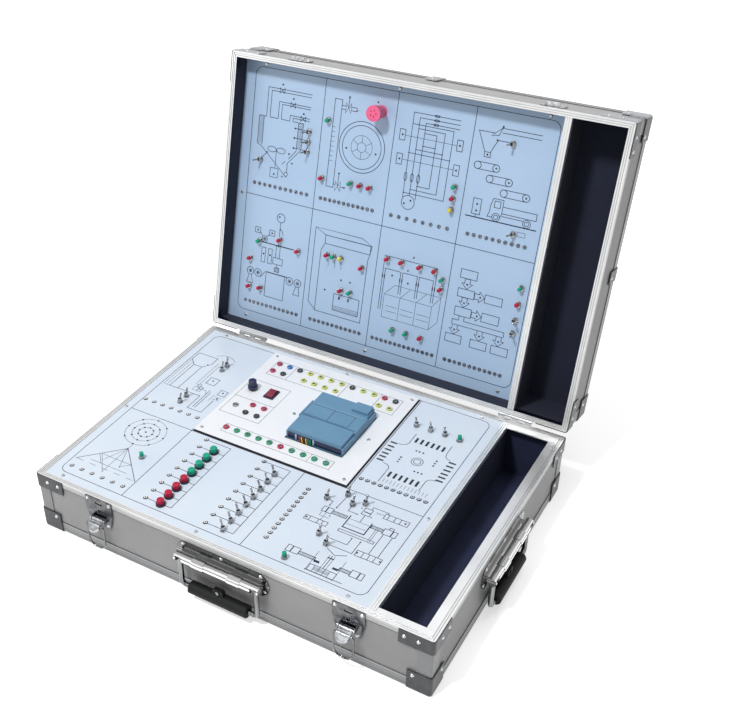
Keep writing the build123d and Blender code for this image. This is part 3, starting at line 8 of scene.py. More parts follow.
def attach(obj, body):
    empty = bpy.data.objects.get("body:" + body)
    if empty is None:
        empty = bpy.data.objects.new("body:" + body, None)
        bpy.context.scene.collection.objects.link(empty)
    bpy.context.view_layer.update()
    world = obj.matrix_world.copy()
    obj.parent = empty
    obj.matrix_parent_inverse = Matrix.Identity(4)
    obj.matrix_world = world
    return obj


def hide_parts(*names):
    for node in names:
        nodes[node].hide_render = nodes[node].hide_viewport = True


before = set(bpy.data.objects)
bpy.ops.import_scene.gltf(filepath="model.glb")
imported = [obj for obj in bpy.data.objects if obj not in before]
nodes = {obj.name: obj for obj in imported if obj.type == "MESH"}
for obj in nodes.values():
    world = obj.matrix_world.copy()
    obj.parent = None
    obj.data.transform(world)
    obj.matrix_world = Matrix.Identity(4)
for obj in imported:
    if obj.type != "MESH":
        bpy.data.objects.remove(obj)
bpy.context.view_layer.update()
print("frame loaded:", len(nodes), "nodes")

mm = 0.001

# Places are in millimetres: across and towards the back on the base, across and up in the lid
caseSettings = {
    "baseOrigin": (-8.65, -76.088, 95.0),
    "lidOrigin": (-8.65, 136.302, 103.310),
    "lidUp": (0.224951, 0.974370),
    "rimTop": 95.0, "frontFace": 288.088, "rightFace": 286.35, "lidHalf": 212.0,
}

baseMatrix = Matrix.Translation(Vector(caseSettings["baseOrigin"]) * mm) @ Matrix.Scale(mm, 4)
upY, upZ = caseSettings["lidUp"]
lidTurn = Matrix(((1.0, 0.0, 0.0), (0.0, upY, -upZ), (0.0, upZ, upY))).to_4x4()
lidMatrix = Matrix.Translation(Vector(caseSettings["lidOrigin"]) * mm) @ lidTurn @ Matrix.Scale(mm, 4)


# Materials

def linearColour(text):
    values = [int(text[i:i + 2], 16) / 255 for i in (1, 3, 5)]
    curved = [v / 12.92 if v <= 0.04045 else ((v + 0.055) / 1.055) ** 2.4 for v in values]
    return (curved[0], curved[1], curved[2], 1.0)


def addNode(tree, kind, inputs=None, **properties):
    node = tree.nodes.new(kind)
    for key, value in properties.items():
        setattr(node, key, value)
    for key, value in (inputs or {}).items():
        if isinstance(value, bpy.types.NodeSocket):
            tree.links.new(value, node.inputs[key])
        else:
            node.inputs[key].default_value = value
    return node


def noiseAt(tree, place, sizeMm, detail=3.0):
    inputs = {"Vector": place, "Scale": 1.0 / (sizeMm * mm), "Detail": detail}
    return addNode(tree, "ShaderNodeTexNoise", inputs).outputs["Fac"]


def spread(tree, value, low, high, start=0.3, end=0.7):
    ranges = {"Value": value, "From Min": start, "From Max": end, "To Min": low, "To Max": high}
    return addNode(tree, "ShaderNodeMapRange", ranges).outputs["Result"]


def calculate(tree, operation, first, second=0.0):
    return addNode(tree, "ShaderNodeMath", {0: first, 1: second}, operation=operation).outputs[0]


def mixColour(tree, factor, first, second):
    return addNode(tree, "ShaderNodeMix", {0: factor, 6: first, 7: second}, data_type="RGBA").outputs[2]


def distanceAlong(tree, place, directions):
    # the farthest of the directions, each given as an axis and the millimetre mark it counts from
    farthest = None
    for axis, mark in directions:
        dot = addNode(tree, "ShaderNodeVectorMath", {0: place, 1: axis}, operation="DOT_PRODUCT")
        along = calculate(tree, "SUBTRACT", dot.outputs["Value"], mark * mm)
        farthest = along if farthest is None else calculate(tree, "MAXIMUM", farthest, along)
    return farthest


def shadeByDistance(tree, place, colour, profile):
    # multiplies the colour by greys that change at set distances: painted light and shade, as painted
    # highlights on ridges and painted shade in grooves and on shaded sides
    stops = profile["stops"]
    low, high = stops[0][0], stops[-1][0]
    distance = distanceAlong(tree, place, profile["directions"])
    share = spread(tree, distance, 0.0, 1.0, low * mm, high * mm)
    ramp = addNode(tree, "ShaderNodeValToRGB", {"Fac": share})
    elements = ramp.color_ramp.elements
    elements.remove(elements[0])
    elements[0].position = 0.0
    elements[0].color = (stops[0][1],) * 3 + (1.0,)
    for at, grey in stops[1:]:
        elements.new((at - low) / (high - low)).color = (grey, grey, grey, 1.0)
    inputs = {0: 1.0, 6: colour, 7: ramp.outputs["Color"]}
    return addNode(tree, "ShaderNodeMix", inputs, data_type="RGBA", blend_type="MULTIPLY").outputs[2]


def lineInside(tree, place, colour, opening):
    # faces that look into the opening take the lining's colour
    inside = None
    for axis, middle, half in opening["spans"]:
        away = calculate(tree, "ABSOLUTE", distanceAlong(tree, place, ((axis, middle),)))
        near = calculate(tree, "LESS_THAN", away, half * mm)
        inside = near if inside is None else calculate(tree, "MULTIPLY", inside, near)
    return mixColour(tree, inside, colour, linearColour(opening["colour"]))


def makeFinish(name, settings):
    # two close colours in broad patches, a fine grain that also roughens and dents the surface
    material = bpy.data.materials.new(name)
    material.use_nodes = True
    tree = material.node_tree
    shader = tree.nodes["Principled BSDF"]
    place = addNode(tree, "ShaderNodeTexCoord").outputs["Object"]
    stretch = {"Vector": place, "Scale": settings.get("stretch", (1, 1, 1))}
    stretched = addNode(tree, "ShaderNodeMapping", stretch).outputs["Vector"]
    broad = noiseAt(tree, stretched if settings.get("streaked") else place, settings["patchMm"])
    fine = noiseAt(tree, stretched, settings["grainMm"], 2.0)
    first, second = (linearColour(shade) for shade in settings["colours"])
    patchy = mixColour(tree, spread(tree, broad, 0.0, 1.0), first, second)
    grainAmount = spread(tree, fine, 0.0, settings["grain"], 0.45, 0.75)
    colour = mixColour(tree, grainAmount, patchy, linearColour(settings["grainColour"]))
    for profileName in settings.get("profiles", ()):
        colour = shadeByDistance(tree, place, colour, profileSettings[profileName])
    if "opening" in settings:
        colour = lineInside(tree, place, colour, settings["opening"])
    tree.links.new(colour, shader.inputs["Base Color"])
    low, high = settings["rough"]
    tree.links.new(spread(tree, fine, low, high), shader.inputs["Roughness"])
    dents = {"Height": fine, "Strength": settings["dent"], "Distance": settings["grainMm"] * mm * 0.2}
    bump = addNode(tree, "ShaderNodeBump", dents)
    tree.links.new(bump.outputs["Normal"], shader.inputs["Normal"])
    shader.inputs["Coat Roughness"].default_value = 0.15
    for socket, key, usual in (("Metallic", "metal", 0.0), ("Specular IOR Level", "shine", 0.5),
                               ("Coat Weight", "coat", 0.0), ("Sheen Weight", "sheen", 0.0)):
        shader.inputs[socket].default_value = settings.get(key, usual)
    return material


upwards = (0.0, 0.0, 1.0)
lidOutwards = (0.0, -upZ, upY)
lidUpwards = (0.0, upY, upZ)
forwards = (0.0, -1.0, 0.0)
rightwards = (1.0, 0.0, 0.0)
lidMark = Vector(caseSettings["lidOrigin"]).dot(Vector(lidOutwards))
lidMiddle = Vector(caseSettings["lidOrigin"]).dot(Vector(lidUpwards)) + caseSettings["lidHalf"]
lidTop = lidMiddle + caseSettings["lidHalf"]
lidOpening = {
    "spans": ((rightwards, caseSettings["baseOrigin"][0], 287.1), (lidUpwards, lidMiddle, 204.1)),
    "colour": "#10152a",
}


def banded(directions, *stops):
    # each stop is a distance in millimetres and the grey that multiplies the colour there
    return {"directions": directions, "stops": stops}


# painted light on the edge bars: a painted highlight on a bead at the edge of the sheet, then painted shade
# in a groove
barStops = ((0.0, 0.75), (6.0, 0.8), (6.6, 0.45), (7.2, 0.9), (12.6, 1.0), (13.2, 0.5), (13.8, 1.25),
            (16.0, 1.25), (16.6, 0.7), (17.4, 0.65), (18.2, 0.8), (19.0, 0.8))
pinStops = ((-6.0, 0.02), (-0.3, 0.06), (-0.1, 1.0), (0.0, 1.0))
profileSettings = {
    # rims: painted highlight on top, painted shade on the sides below, a painted highlight on a ridge beside
    # a shaded groove, and a dark joint at the foot
    "baseRim": banded([(upwards, caseSettings["rimTop"])], (-10.0, 0.12), (-9.2, 0.14), (-8.9, 0.5),
        (-3.2, 0.5), (-2.9, 0.85), (-2.3, 0.85), (-2.0, 0.42), (-1.0, 0.5), (-0.6, 1.0), (0.0, 1.0)),
    "lidRim": banded([(lidOutwards, lidMark)], (-10.0, 0.12), (-9.2, 0.14), (-8.9, 0.55), (-3.2, 0.55),
        (-2.9, 0.9), (-2.3, 0.9), (-2.0, 0.5), (-1.0, 0.6), (-0.6, 1.0), (0.0, 1.0)),
    # edge bars, counted from their outer face
    "baseEdge": banded([(upwards, 1.5)], *barStops),
    "lidEdge": banded([(lidOutwards, lidMark - 79.5)], *barStops),
    # module plate: white on top, its side darkened near black as a dark gasket with painted shade
    "moduleEdge": banded([(upwards, 97.0)], (-3.0, 0.03), (-0.6, 0.04), (-0.3, 1.0), (0.0, 1.0)),
    # chromed parts on the walls: painted shade close to the wall, painted highlight where they stand out
    "handleReach": banded([(forwards, caseSettings["frontFace"]), (rightwards, caseSettings["rightFace"])],
        (0.0, 0.36), (1.6, 0.46), (2.6, 0.72), (4.0, 1.15), (20.0, 1.2)),
    "latchReach": banded([(forwards, caseSettings["frontFace"])], (0.0, 0.22), (1.0, 0.3), (1.6, 0.62),
        (4.0, 0.8), (7.0, 1.4), (20.0, 1.4)),
    # corners on the lid's upper side face the ceiling and shine
    "lidTopSide": banded([(lidUpwards, lidTop)], (-1.0, 1.0), (0.0, 6.0), (6.0, 6.0)),
    # painted highlight: the lid's upper wall faces the ceiling, so the sheet is brightened there
    "lidTopWallHighlight": banded([(lidUpwards, lidTop)], (-3.0, 1.0), (-2.6, 1.4), (3.0, 1.4)),
    # keepers: painted shade on the plate, a painted highlight on the hook
    "keeperReach": banded([(lidUpwards, lidTop)], (0.0, 0.3), (1.0, 0.45), (1.5, 1.0), (4.0, 1.2),
        (10.0, 1.2)),
    # turned pins: only the top of the head catches the light, its side and bore stay dark
    "basePin": banded([(upwards, caseSettings["rimTop"])], *pinStops),
    "lidPin": banded([(lidOutwards, lidMark - 29.0)], *pinStops),
    # painted reflections: light and dark bands of a polished round bar that lies level
    "tubeReflectionBands": banded([(upwards, 66.0)], (-7.5, 0.12), (-5.0, 0.18), (-4.2, 0.4), (-3.0, 0.6),
        (-2.2, 0.16), (-1.4, 0.2), (-0.8, 0.9), (1.2, 1.0), (1.8, 0.55), (2.4, 0.2), (3.2, 0.3), (3.8, 1.0),
        (5.0, 0.85), (5.8, 0.35), (8.0, 0.62), (19.0, 0.6)),
}


def surface(first, second, grainColour, patchMm, grainMm, smoothest, roughest, grain=0.2, dent=0.15, **more):
    return {"colours": (first, second), "grainColour": grainColour, "patchMm": patchMm, "grainMm": grainMm,
            "rough": (smoothest, roughest), "grain": grain, "dent": dent, **more}


# colours, sizes and roughness that several bars share
anodised = ("#e2e2e1", "#d6d7d8", "#c3c5c8", 90, 0.8, 0.28, 0.45)
# painted shade: the bar metal in darker tones for the far edges
shadedBarTones = ("#88898a", "#7a7b7c", "#a8a8a8", 50, 0.8, 0.3, 0.48)
finishSettings = {
    # pressed laminate sheet: even mid grey with a fine pebble that dulls the light, brightened on the lid's
    # upper wall as a painted highlight
    "greyLaminateSheet": surface("#8e8e8e", "#848484", "#a0a0a0", 60, 0.9, 0.42, 0.6, grain=0.35, dent=0.25,
        profiles=["lidTopWallHighlight"], on="base_panels lid_panels"),
    # drawn and anodised aluminium: bright, with streaks that run along the bar
    "anodisedAluminiumBar": surface(*anodised, grain=0.25,
        dent=0.08, metal=0.75, stretch=(0.02, 0.02, 1.0), on="storage_frame lid_divider"),
    # the same bar round the opening of the base and of the lid, with painted light and shade across it
    "anodisedBaseRim": surface(*anodised, grain=0.25, dent=0.08,
        metal=0.75, stretch=(0.02, 0.02, 1.0), profiles=["baseRim"], on="base_rim"),
    "anodisedLidRim": surface(*anodised, grain=0.25, dent=0.08,
        metal=0.75, stretch=(0.02, 1.0, 0.02), profiles=["lidRim"], opening=lidOpening,
        on="lid_rim"),
    # bars along the far edges: the same metal in darker tones as painted shade
    "shadedBaseBar": surface(*shadedBarTones, grain=0.25, dent=0.1,
        metal=0.7, stretch=(0.02, 0.02, 1.0), profiles=["baseEdge"], on="base_edge_frame"),
    "shadedLidBar": surface(*shadedBarTones, grain=0.25, dent=0.1,
        metal=0.7, stretch=(0.02, 1.0, 0.02), profiles=["lidEdge"], on="lid_edge_frame"),
    # pressed steel corner, satin plated: darker than the bars, softly clouded
    "platedSteelPressing": surface("#4c4d4f", "#3f4042", "#606163", 12, 0.7, 0.3, 0.48, grain=0.25,
        dent=0.1, metal=0.8, profiles=["lidTopSide"],
        on="base_corner_guards lid_corner_guards"),
    # headed rivet: polished, small smudges
    "polishedRivetSteel": surface("#d8d9da", "#8f9193", "#8f9193", 1.6, 0.5, 0.14, 0.3, dent=0.05,
        metal=0.95, on="base_fasteners lid_fasteners"),
    # screen-printed panel: pale blue lacquer with a barely seen fleck
    "paleBlueLacquer": surface("#ccd6e1", "#c6d0dd", "#d6dee7", 120, 0.6, 0.32, 0.42, dent=0.06, coat=0.15,
        on="face_panel"),
    # the lid's sheet: the same lacquer in a darker, deeper blue as painted shade
    "shadedBlueLacquer": surface("#a6bed9", "#9fb8d4", "#aec3da", 140, 0.6, 0.36, 0.46, dent=0.06, coat=0.1,
        on="lid_face_panel"),
    # module plate: warm off-white lacquer, slightly grained
    "offWhiteLacquer": surface("#e2e4e7", "#dddfe3", "#ebe9ed", 80, 0.6, 0.34, 0.44, dent=0.06, coat=0.12,
        profiles=["moduleEdge"], on="module_plate"),
    # sawn pine batten: straw colour with long grain
    "sawnPine": surface("#c9a672", "#b78f5c", "#94703f", 25, 1.6, 0.6, 0.8, grain=0.5, dent=0.3,
        stretch=(0.05, 1.0, 1.0), on="panel_supports"),
    # napped lining cloth: near-black navy that catches a little light on its pile
    "nappedNavyCloth": surface("#111832", "#1a2342", "#2a3354", 34, 0.7, 0.8, 0.95, grain=0.5, dent=0.6,
        sheen=0.02, on="storage_lining"),
    # the lid's lining: the same cloth in darker tones as painted shade
    "shadedNavyCloth": surface("#0b1023", "#12182f", "#1f2640", 34, 0.7, 0.8, 0.95, grain=0.5, dent=0.6,
        sheen=0.02, on="lid_lining"),
    # moulded controller housing: steel blue, spark-eroded grain
    "mouldedSteelBlue": surface("#6088a4", "#58809d", "#6f95b0", 40, 0.5, 0.4, 0.55, grain=0.3, dent=0.2,
        on="plc_body plc_front_cover plc_rear_cover"),
    # dipped zinc sheet of the supply: dull grey crystals
    "dippedZincSheet": surface("#a9adb0", "#8f9498", "#8f9498", 8, 1.2, 0.35, 0.55, grain=0.3, dent=0.1,
        metal=0.7, on="power_supply"),
    # circuit board: green resist over copper that shows as a lighter maze
    "greenSolderResist": surface("#1f5d36", "#276d41", "#3f8a58", 5, 1.5, 0.3, 0.45, grain=0.4, dent=0.1,
        coat=0.3, on="circuit_board lid_circuit_board"),
    # the lid's turned sockets: tin plated, with fine tool rings, in darker tones as painted shade
    "shadedTinnedBrass": surface("#a8afbe", "#4a5060", "#4a5060", 1.2, 0.4, 0.2, 0.38, grain=0.3, dent=0.1,
        metal=0.9, profiles=["lidPin"], on="lid_pin_sockets"),
    # the base's sockets: the same tin in lighter tones as painted light, with painted shade in the bore
    "litTinnedBrass": surface("#f0f0f0", "#d9dadb", "#d9dadb", 1.2, 0.4, 0.2, 0.38, grain=0.3, dent=0.1,
        metal=0.9, profiles=["basePin"], on="pin_sockets"),
    # moulded black plastic of switches and bezels: deep, with a soft sheen
    "mouldedBlackPlastic": surface("#101221", "#161930", "#22263c", 6, 0.4, 0.35, 0.5, grain=0.3,
        on="switch_bodies"),
    # dark indigo knob plastic: catches a broad highlight
    "mouldedIndigoPlastic": surface("#1d2040", "#23274b", "#313763", 5, 0.4, 0.28, 0.4, grain=0.3, dent=0.1,
        on="speed_knob"),
    # bright plate on levers and bushes: mirror with faint fingerprints in its grain, and light and dark
    # patches as painted reflections
    "brightNickelPlate": surface("#cbcccd", "#5c5e61", "#a7a9ab", 2.5, 0.6, 0.12, 0.26, dent=0.04,
        metal=1.0, on=("toggle_bodies lid_switch_bodies bank_toggle_levers rear_toggle_levers "
        "lid_toggle_levers lid_selector_levers")),
    # drawn and chromed wire: painted reflections as hard light and dark lines that follow the wire down
    "chromedWire": surface("#97999b", "#232527", "#9b9da0", 2.6, 0.6, 0.1, 0.22, grain=0.15, dent=0.03,
        metal=1.0, stretch=(1.0, 1.0, 0.03), streaked=True,
        on="front_bail side_bail latch_loop_left latch_loop_right"),
    # rolled chrome tube and plate of the handles: painted reflections in level bands, painted shade close to
    # the wall
    "rolledChrome": surface("#f4f4f4", "#dcdddd", "#b4b6b8", 5, 0.6, 0.1, 0.24, grain=0.15, dent=0.03,
        metal=1.0, stretch=(0.04, 0.04, 1.0), streaked=True, profiles=["tubeReflectionBands", "handleReach"],
        on="handle_plates"),
    # pressed and chromed latch: painted highlights on the parts that stand out over painted shade close to
    # the wall
    "pressedChrome": surface("#a9abae", "#717377", "#85878a", 7, 0.6, 0.14, 0.24, grain=0.15, dent=0.03,
        metal=1.0, profiles=["latchReach"],
        on="latch_plates latch_lever_left latch_lever_right"),
    # the keepers on the lid, pressed from the same chromed sheet, with painted shade on the plate and a
    # painted highlight on the hook
    "pressedKeeperChrome": surface("#d4d5d7", "#8b8d90", "#9b9da0", 4, 0.6, 0.14, 0.24, grain=0.15,
        dent=0.03, metal=1.0, profiles=["keeperReach"], on="latch_keepers"),
    # rolled steel leaf: bright with rolling lines
    "rolledBrightSteel": surface("#b4b5b7", "#6f7174", "#9b9da0", 4, 0.7, 0.2, 0.36, grain=0.25, metal=0.95,
        stretch=(0.05, 1.0, 1.0), streaked=True, on="base_hinge_leaves lid_hinge_leaves"),
    # moulded handle grip: near-black rubber with a satin wear
    "mouldedGripRubber": surface("#0f1011", "#090a0a", "#232426", 14, 0.8, 0.55, 0.75, grain=0.5, dent=0.5,
        shine=0.25, on="front_grip side_grip"),
    # moulded caps: saturated plastic, slightly glossy, with a little tonal drift
    "crimsonCapPlastic": surface("#b30a3a", "#a20733", "#cf1f48", 5, 0.4, 0.25, 0.38, grain=0.3, shine=0.3,
        on="push_button_5 push_button_6 push_button_7 push_button_8"),
    "greenCapPlastic": surface("#059a7c", "#048c70", "#22b592", 5, 0.4, 0.25, 0.38, grain=0.3, shine=0.3,
        on="start_buttons push_button_1 push_button_2 push_button_3 push_button_4"),
    "yellowCapPlastic": surface("#d6c837", "#cabb2c", "#e2d75c", 4, 0.4, 0.25, 0.38, grain=0.3, coat=0.2),
    "pinkHornPlastic": surface("#e2668c", "#d75a80", "#ea6a8d", 10, 0.5, 0.32, 0.45, grain=0.3, shine=0.3,
        on="alarm_sounder"),
    # rocker: smoked crimson, darker to one side of each patch
    "smokedCrimsonPlastic": surface("#8d1238", "#5e0d2a", "#b2284f", 7, 0.4, 0.15, 0.25, grain=0.25,
        coat=0.5, on="rocker"),
    # screen ink: blue-black, thin enough that the lacquer's grain shows in it
    "blueBlackScreenInk": surface("#141b30", "#1a223a", "#2b3552", 9, 0.5, 0.45, 0.6, grain=0.4, shine=0.3),
    "solidBlackInk": surface("#101218", "#171a22", "#262a35", 9, 0.5, 0.4, 0.55, grain=0.3),
    # signal lamp off: smoked lens, almost black
    "smokedLampLens": surface("#0d0f14", "#171a21", "#2b2f3a", 1.5, 0.3, 0.1, 0.2, coat=0.6),
    # test socket collars
    "redCollarPlastic": surface("#ad1748", "#9c133f", "#c02e58", 3, 0.4, 0.25, 0.4, grain=0.3,
        on="jack_sockets lid_push_buttons"),
    "greenCollarPlastic": surface("#169065", "#12835b", "#2fa67c", 3, 0.4, 0.25, 0.4, grain=0.3),
    "limeCollarPlastic": surface("#c3ca62", "#b8c056", "#d3d987", 3, 0.4, 0.25, 0.4, grain=0.3),
    "blueCollarPlastic": surface("#1878c8", "#146bb5", "#3b91d8", 3, 0.4, 0.25, 0.4, grain=0.3),
    "blackCollarPlastic": surface("#14161d", "#1b1e27", "#2c303c", 3, 0.4, 0.25, 0.4, grain=0.3),
    # wire skins
    "redWireSkin": surface("#c8213a", "#b81c34", "#b81c34", 3, 0.4, 0.3, 0.45),
    "yellowWireSkin": surface("#e5c640", "#d8b832", "#d8b832", 3, 0.4, 0.3, 0.45),
    "brownWireSkin": surface("#3a2a26", "#31231f", "#31231f", 3, 0.4, 0.3, 0.45),
    "tealWireSkin": surface("#14856f", "#117863", "#117863", 3, 0.4, 0.3, 0.45),
    # terminal strip behind the wires: navy glass-filled plastic
    "navyTerminalPlastic": surface("#141b3a", "#1b2347", "#2b3560", 6, 0.4, 0.3, 0.45, grain=0.3),
    "paleTerminalPlastic": surface("#9fb4cf", "#93a9c6", "#93a9c6", 4, 0.4, 0.35, 0.5),
}
finish = {name: makeFinish(name, settings) for name, settings in finishSettings.items()}


def paint(thing, material):
    if not thing.material_slots:
        thing.data.materials.append(material)
    for holder in thing.material_slots:
        holder.material = material


painted = 0
for finishName, settings in finishSettings.items():
    for member in settings.get("on", "").split():
        paint(nodes[member], finish[finishName])
        painted += 1
print("frame painted:", painted, "nodes")


# Building pieces

def keepPiece(bm, name, finishes, body, sharpAt=35):
    bmesh.ops.remove_doubles(bm, verts=bm.verts, dist=1e-7)
    bmesh.ops.recalc_face_normals(bm, faces=bm.faces)
    for face in bm.faces:
        face.smooth = True
    mesh = bpy.data.meshes.new(name)
    bm.to_mesh(mesh)
    bm.free()
    mesh.set_sharp_from_angle(angle=math.radians(sharpAt))
    piece = bpy.data.objects.new(name, mesh)
    bpy.context.scene.collection.objects.link(piece)
    for finishName in finishes:
        mesh.materials.append(finish[finishName])
    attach(piece, body)
    return piece


def turned(bm, matrix, spot, profile, steps=20, index=0):
    # a profile of (radius, height) spun about the spot
    start = set(bm.faces)
    points = [bm.verts.new((spot[0] + r, spot[1], h)) for r, h in profile]
    edges = [bm.edges.new((a, b)) for a, b in zip(points, points[1:])]
    centre = Vector((spot[0], spot[1], 0))
    bmesh.ops.spin(bm, geom=points + edges, cent=centre, axis=(0, 0, 1), angle=math.tau, steps=steps,
                   use_merge=True)
    fresh = [f for f in bm.faces if f not in start]
    touched = list({v for f in fresh for v in f.verts})
    bmesh.ops.transform(bm, matrix=matrix, verts=touched)
    for face in fresh:
        face.material_index = index


# Ink: every stroke is a thin raised ribbon on its panel

inkSettings = {
    # weights: kind, width of lines, width of rings
    "height": 0.06, "sink": 0.02, "hatchWidth": 0.58,
    "weights": (("", 0.9, 0.9), ("faint", 0.58, 0.58), ("bold", 1.6, 1.0)),
}


def circle(x, y, radius, steps=36, start=0.0, turn=360.0, flat=1.0):
    angles = [math.radians(start + turn * i / steps) for i in range(steps + (turn < 360))]
    return [(x + radius * math.cos(a), y + flat * radius * math.sin(a)) for a in angles]


def rectangle(x1, x2, y1, y2):
    return [(x1, y1), (x2, y1), (x2, y2), (x1, y2)]


def roundRectangle(x1, x2, y1, y2, radius):
    corners = ((x2 - radius, y2 - radius, 0), (x1 + radius, y2 - radius, 90),
               (x1 + radius, y1 + radius, 180), (x2 - radius, y1 + radius, 270))
    return [p for x, y, start in corners for p in circle(x, y, radius, 8, start, 90)]


def ribbon(bm, points, width, closed):
    spots = [Vector(p) for p in points]
    count = len(spots)
    sides = []
    for i, spot in enumerate(spots):
        before = spots[i - 1] if i or closed else None
        after = spots[(i + 1) % count] if i < count - 1 or closed else None
        back = (spot - before).normalized() if before is not None else (after - spot).normalized()
        ahead = (after - spot).normalized() if after is not None else back
        across = Vector((-back.y - ahead.y, back.x + ahead.x))
        across = across.normalized() if across.length > 0.01 else Vector((-back.y, back.x))
        reach = width / 2 / max(0.45, across.dot(Vector((-back.y, back.x))))
        sides.append([bm.verts.new((*(spot + across * reach * s), 0)) for s in (-1, 1)])
    for i in range(count if closed else count - 1):
        a, b = sides[i], sides[(i + 1) % count]
        bm.faces.new((a[0], b[0], b[1], a[1]))


def hatch(x1, x2, y1, y2, pitch):
    # slanted lines cut off at the rectangle
    height = y2 - y1
    strokes = []
    offset = pitch - height
    while offset < x2 - x1:
        low = max(offset, 0)
        high = min(offset + height, x2 - x1)
        if high - low > 0.3:
            strokes.append([(x1 + low, y1 + low - offset), (x1 + high, y1 + high - offset)])
        offset += pitch
    return strokes


def drawPrint(bm, drawing):
    # an upright is (x, from y, to y) and a level is (y, from x, to x)
    for kind, width, ringWidth in inkSettings["weights"]:
        def every(shape):
            return drawing.get(kind + shape[0].upper() + shape[1:] if kind else shape, ())
        strokes = list(every("lines"))
        strokes += [[(x, y1), (x, y2)] for x, y1, y2 in every("uprights")]
        strokes += [[(x1, y), (x2, y)] for y, x1, x2 in every("levels")]
        outlines = list(every("loops")) + [rectangle(*edges) for edges in every("boxes")]
        for points in strokes:
            ribbon(bm, points, width, False)
        for points in outlines:
            ribbon(bm, points, width, True)
        for x, y, radius in every("rings"):
            ribbon(bm, circle(x, y, radius, 18 if radius < 8 else 48), ringWidth, True)
    for x1, x2, y1, y2, pitch in drawing.get("hatches", ()):
        for points in hatch(x1, x2, y1, y2, pitch):
            ribbon(bm, points, inkSettings["hatchWidth"], False)
    for edges in drawing.get("fills", ()):
        bm.faces.new([bm.verts.new((*p, 0)) for p in rectangle(*edges)])
    for x, y, radius in drawing.get("dots", ()):
        bm.faces.new([bm.verts.new((*p, 0)) for p in circle(x, y, radius, 12)])


def printSheet(name, matrix, surface, drawings, inkName, body):
    bm = bmesh.new()
    for drawing in drawings:
        drawPrint(bm, drawing)
    for vert in bm.verts:
        vert.co.z = surface - inkSettings["sink"]
    for face in bm.faces:
        if face.normal.z < 0:
            face.normal_flip()
    made = bmesh.ops.extrude_face_region(bm, geom=bm.faces[:])
    raised = [g for g in made["geom"] if isinstance(g, bmesh.types.BMVert)]
    lift = Vector((0, 0, inkSettings["sink"] + inkSettings["height"]))
    bmesh.ops.translate(bm, vec=lift, verts=raised)
    bmesh.ops.transform(bm, matrix=matrix, verts=bm.verts)
    return keepPiece(bm, name, [inkName], body)


def looseMiddles(thing, matrix):
    # the middle of each separate solid in a node, in the panel's own millimetres
    bm = bmesh.new()
    bm.from_mesh(thing.data)
    inverse = matrix.inverted()
    waiting = set(bm.verts)
    middles = []
    while waiting:
        group = [waiting.pop()]
        for vert in group:
            fresh = [e.other_vert(vert) for e in vert.link_edges if e.other_vert(vert) in waiting]
            waiting.difference_update(fresh)
            group.extend(fresh)
        spots = [inverse @ v.co for v in group]
        across = [p.x for p in spots]
        along = [p.y for p in spots]
        middles.append(((min(across) + max(across)) / 2, (min(along) + max(along)) / 2))
    bm.free()
    return sorted((round(x, 2), round(y, 2)) for x, y in middles)


# Base panel print

borderPrint = {
    "loops": [roundRectangle(-274, 194.5, -190.5, 193, 12)],
    "uprights": [(-166, -190.5, 193), (83.2, -30.5, 193), (85.6, -30.5, 193), (20, -190.5, -30.5)],
    "levels": [(-30.5, -274, 194.5)],
}

tankPrint = {
    "loops": [[(-270, 137), (-235, 137), (-235, 119), (-241.5, 110), (-244.5, 106.5), (-259, 106.5),
        (-270, 118)]],
    "lines": [[(-259, 106.5), (-259, 43.4), (-203.7, 43.4)], [(-203.7, 43.4), (-203.7, 10.8),
        (-179.3, 10.8), (-179.3, 43.4)]],
    "uprights": [(-244.3, 106.5, 43.4), (-198, 62, 16), (-194, 58, 16)],
    "faintLines": [[(-270, 125), (-270, 43.4), (-259, 43.4)], circle(-224, 128, 22, 10, 40, 100),
        [(-213, 60), (-203, 58), (-198, 50)]],
    "faintUprights": [(-226.7, 126, 65), (-221.3, 122, 65), (-264.5, 112, 43.4), (-186.5, 56, 40)],
    "faintLevels": [(52, -184, -172), (46, -184, -172)],
    "boxes": [(-215, -199.6, 74.5, 91), (-183, -171, 58, 70.5)],
    "rings": [(-219.5, 65, 3.2), (-213, 60, 3.0)],
    "faintBoxes": [(-224, -217, 51.5, 60), (-215.5, -210.5, 51.5, 57)],
    "dots": [(-239.7, 116, 1.2)],
}

fountainSettings = {"centre": (-220.3, -66.4), "radii": (30.0, 20.0, 11.0), "lamps": 8}
fountainX, fountainY = fountainSettings["centre"]
fountainPrint = {
    "faintRings": [(fountainX, fountainY, r) for r in fountainSettings["radii"]],
    "lines": [[(-219.4, -108), (-270, -160.3)], [(-219.4, -108), (-167.2, -160.3)]],
    "faintLines": [[(-219.4, -108), (-235, -146)], [(-219.4, -108), (-204, -148)], [(-244, -134.7),
        (-218.6, -165.8)], [(-246, -137), (-232, -152)], [(-193, -134.7), (-206, -146)]],
    "faintUprights": [(-219.4, -98, -165.8)],
    "faintLevels": [(-134.7, -244, -193), (-152, -250, -188)],
}
for dash in range(5):
    fountainPrint["faintLines"].append([(-267 + 21 * dash, -159.5), (-256 + 21 * dash, -159.5)])
fountainLamps = [(fountainX, fountainY)]
for radius in fountainSettings["radii"]:
    fountainLamps += circle(fountainX, fountainY, radius, fountainSettings["lamps"])

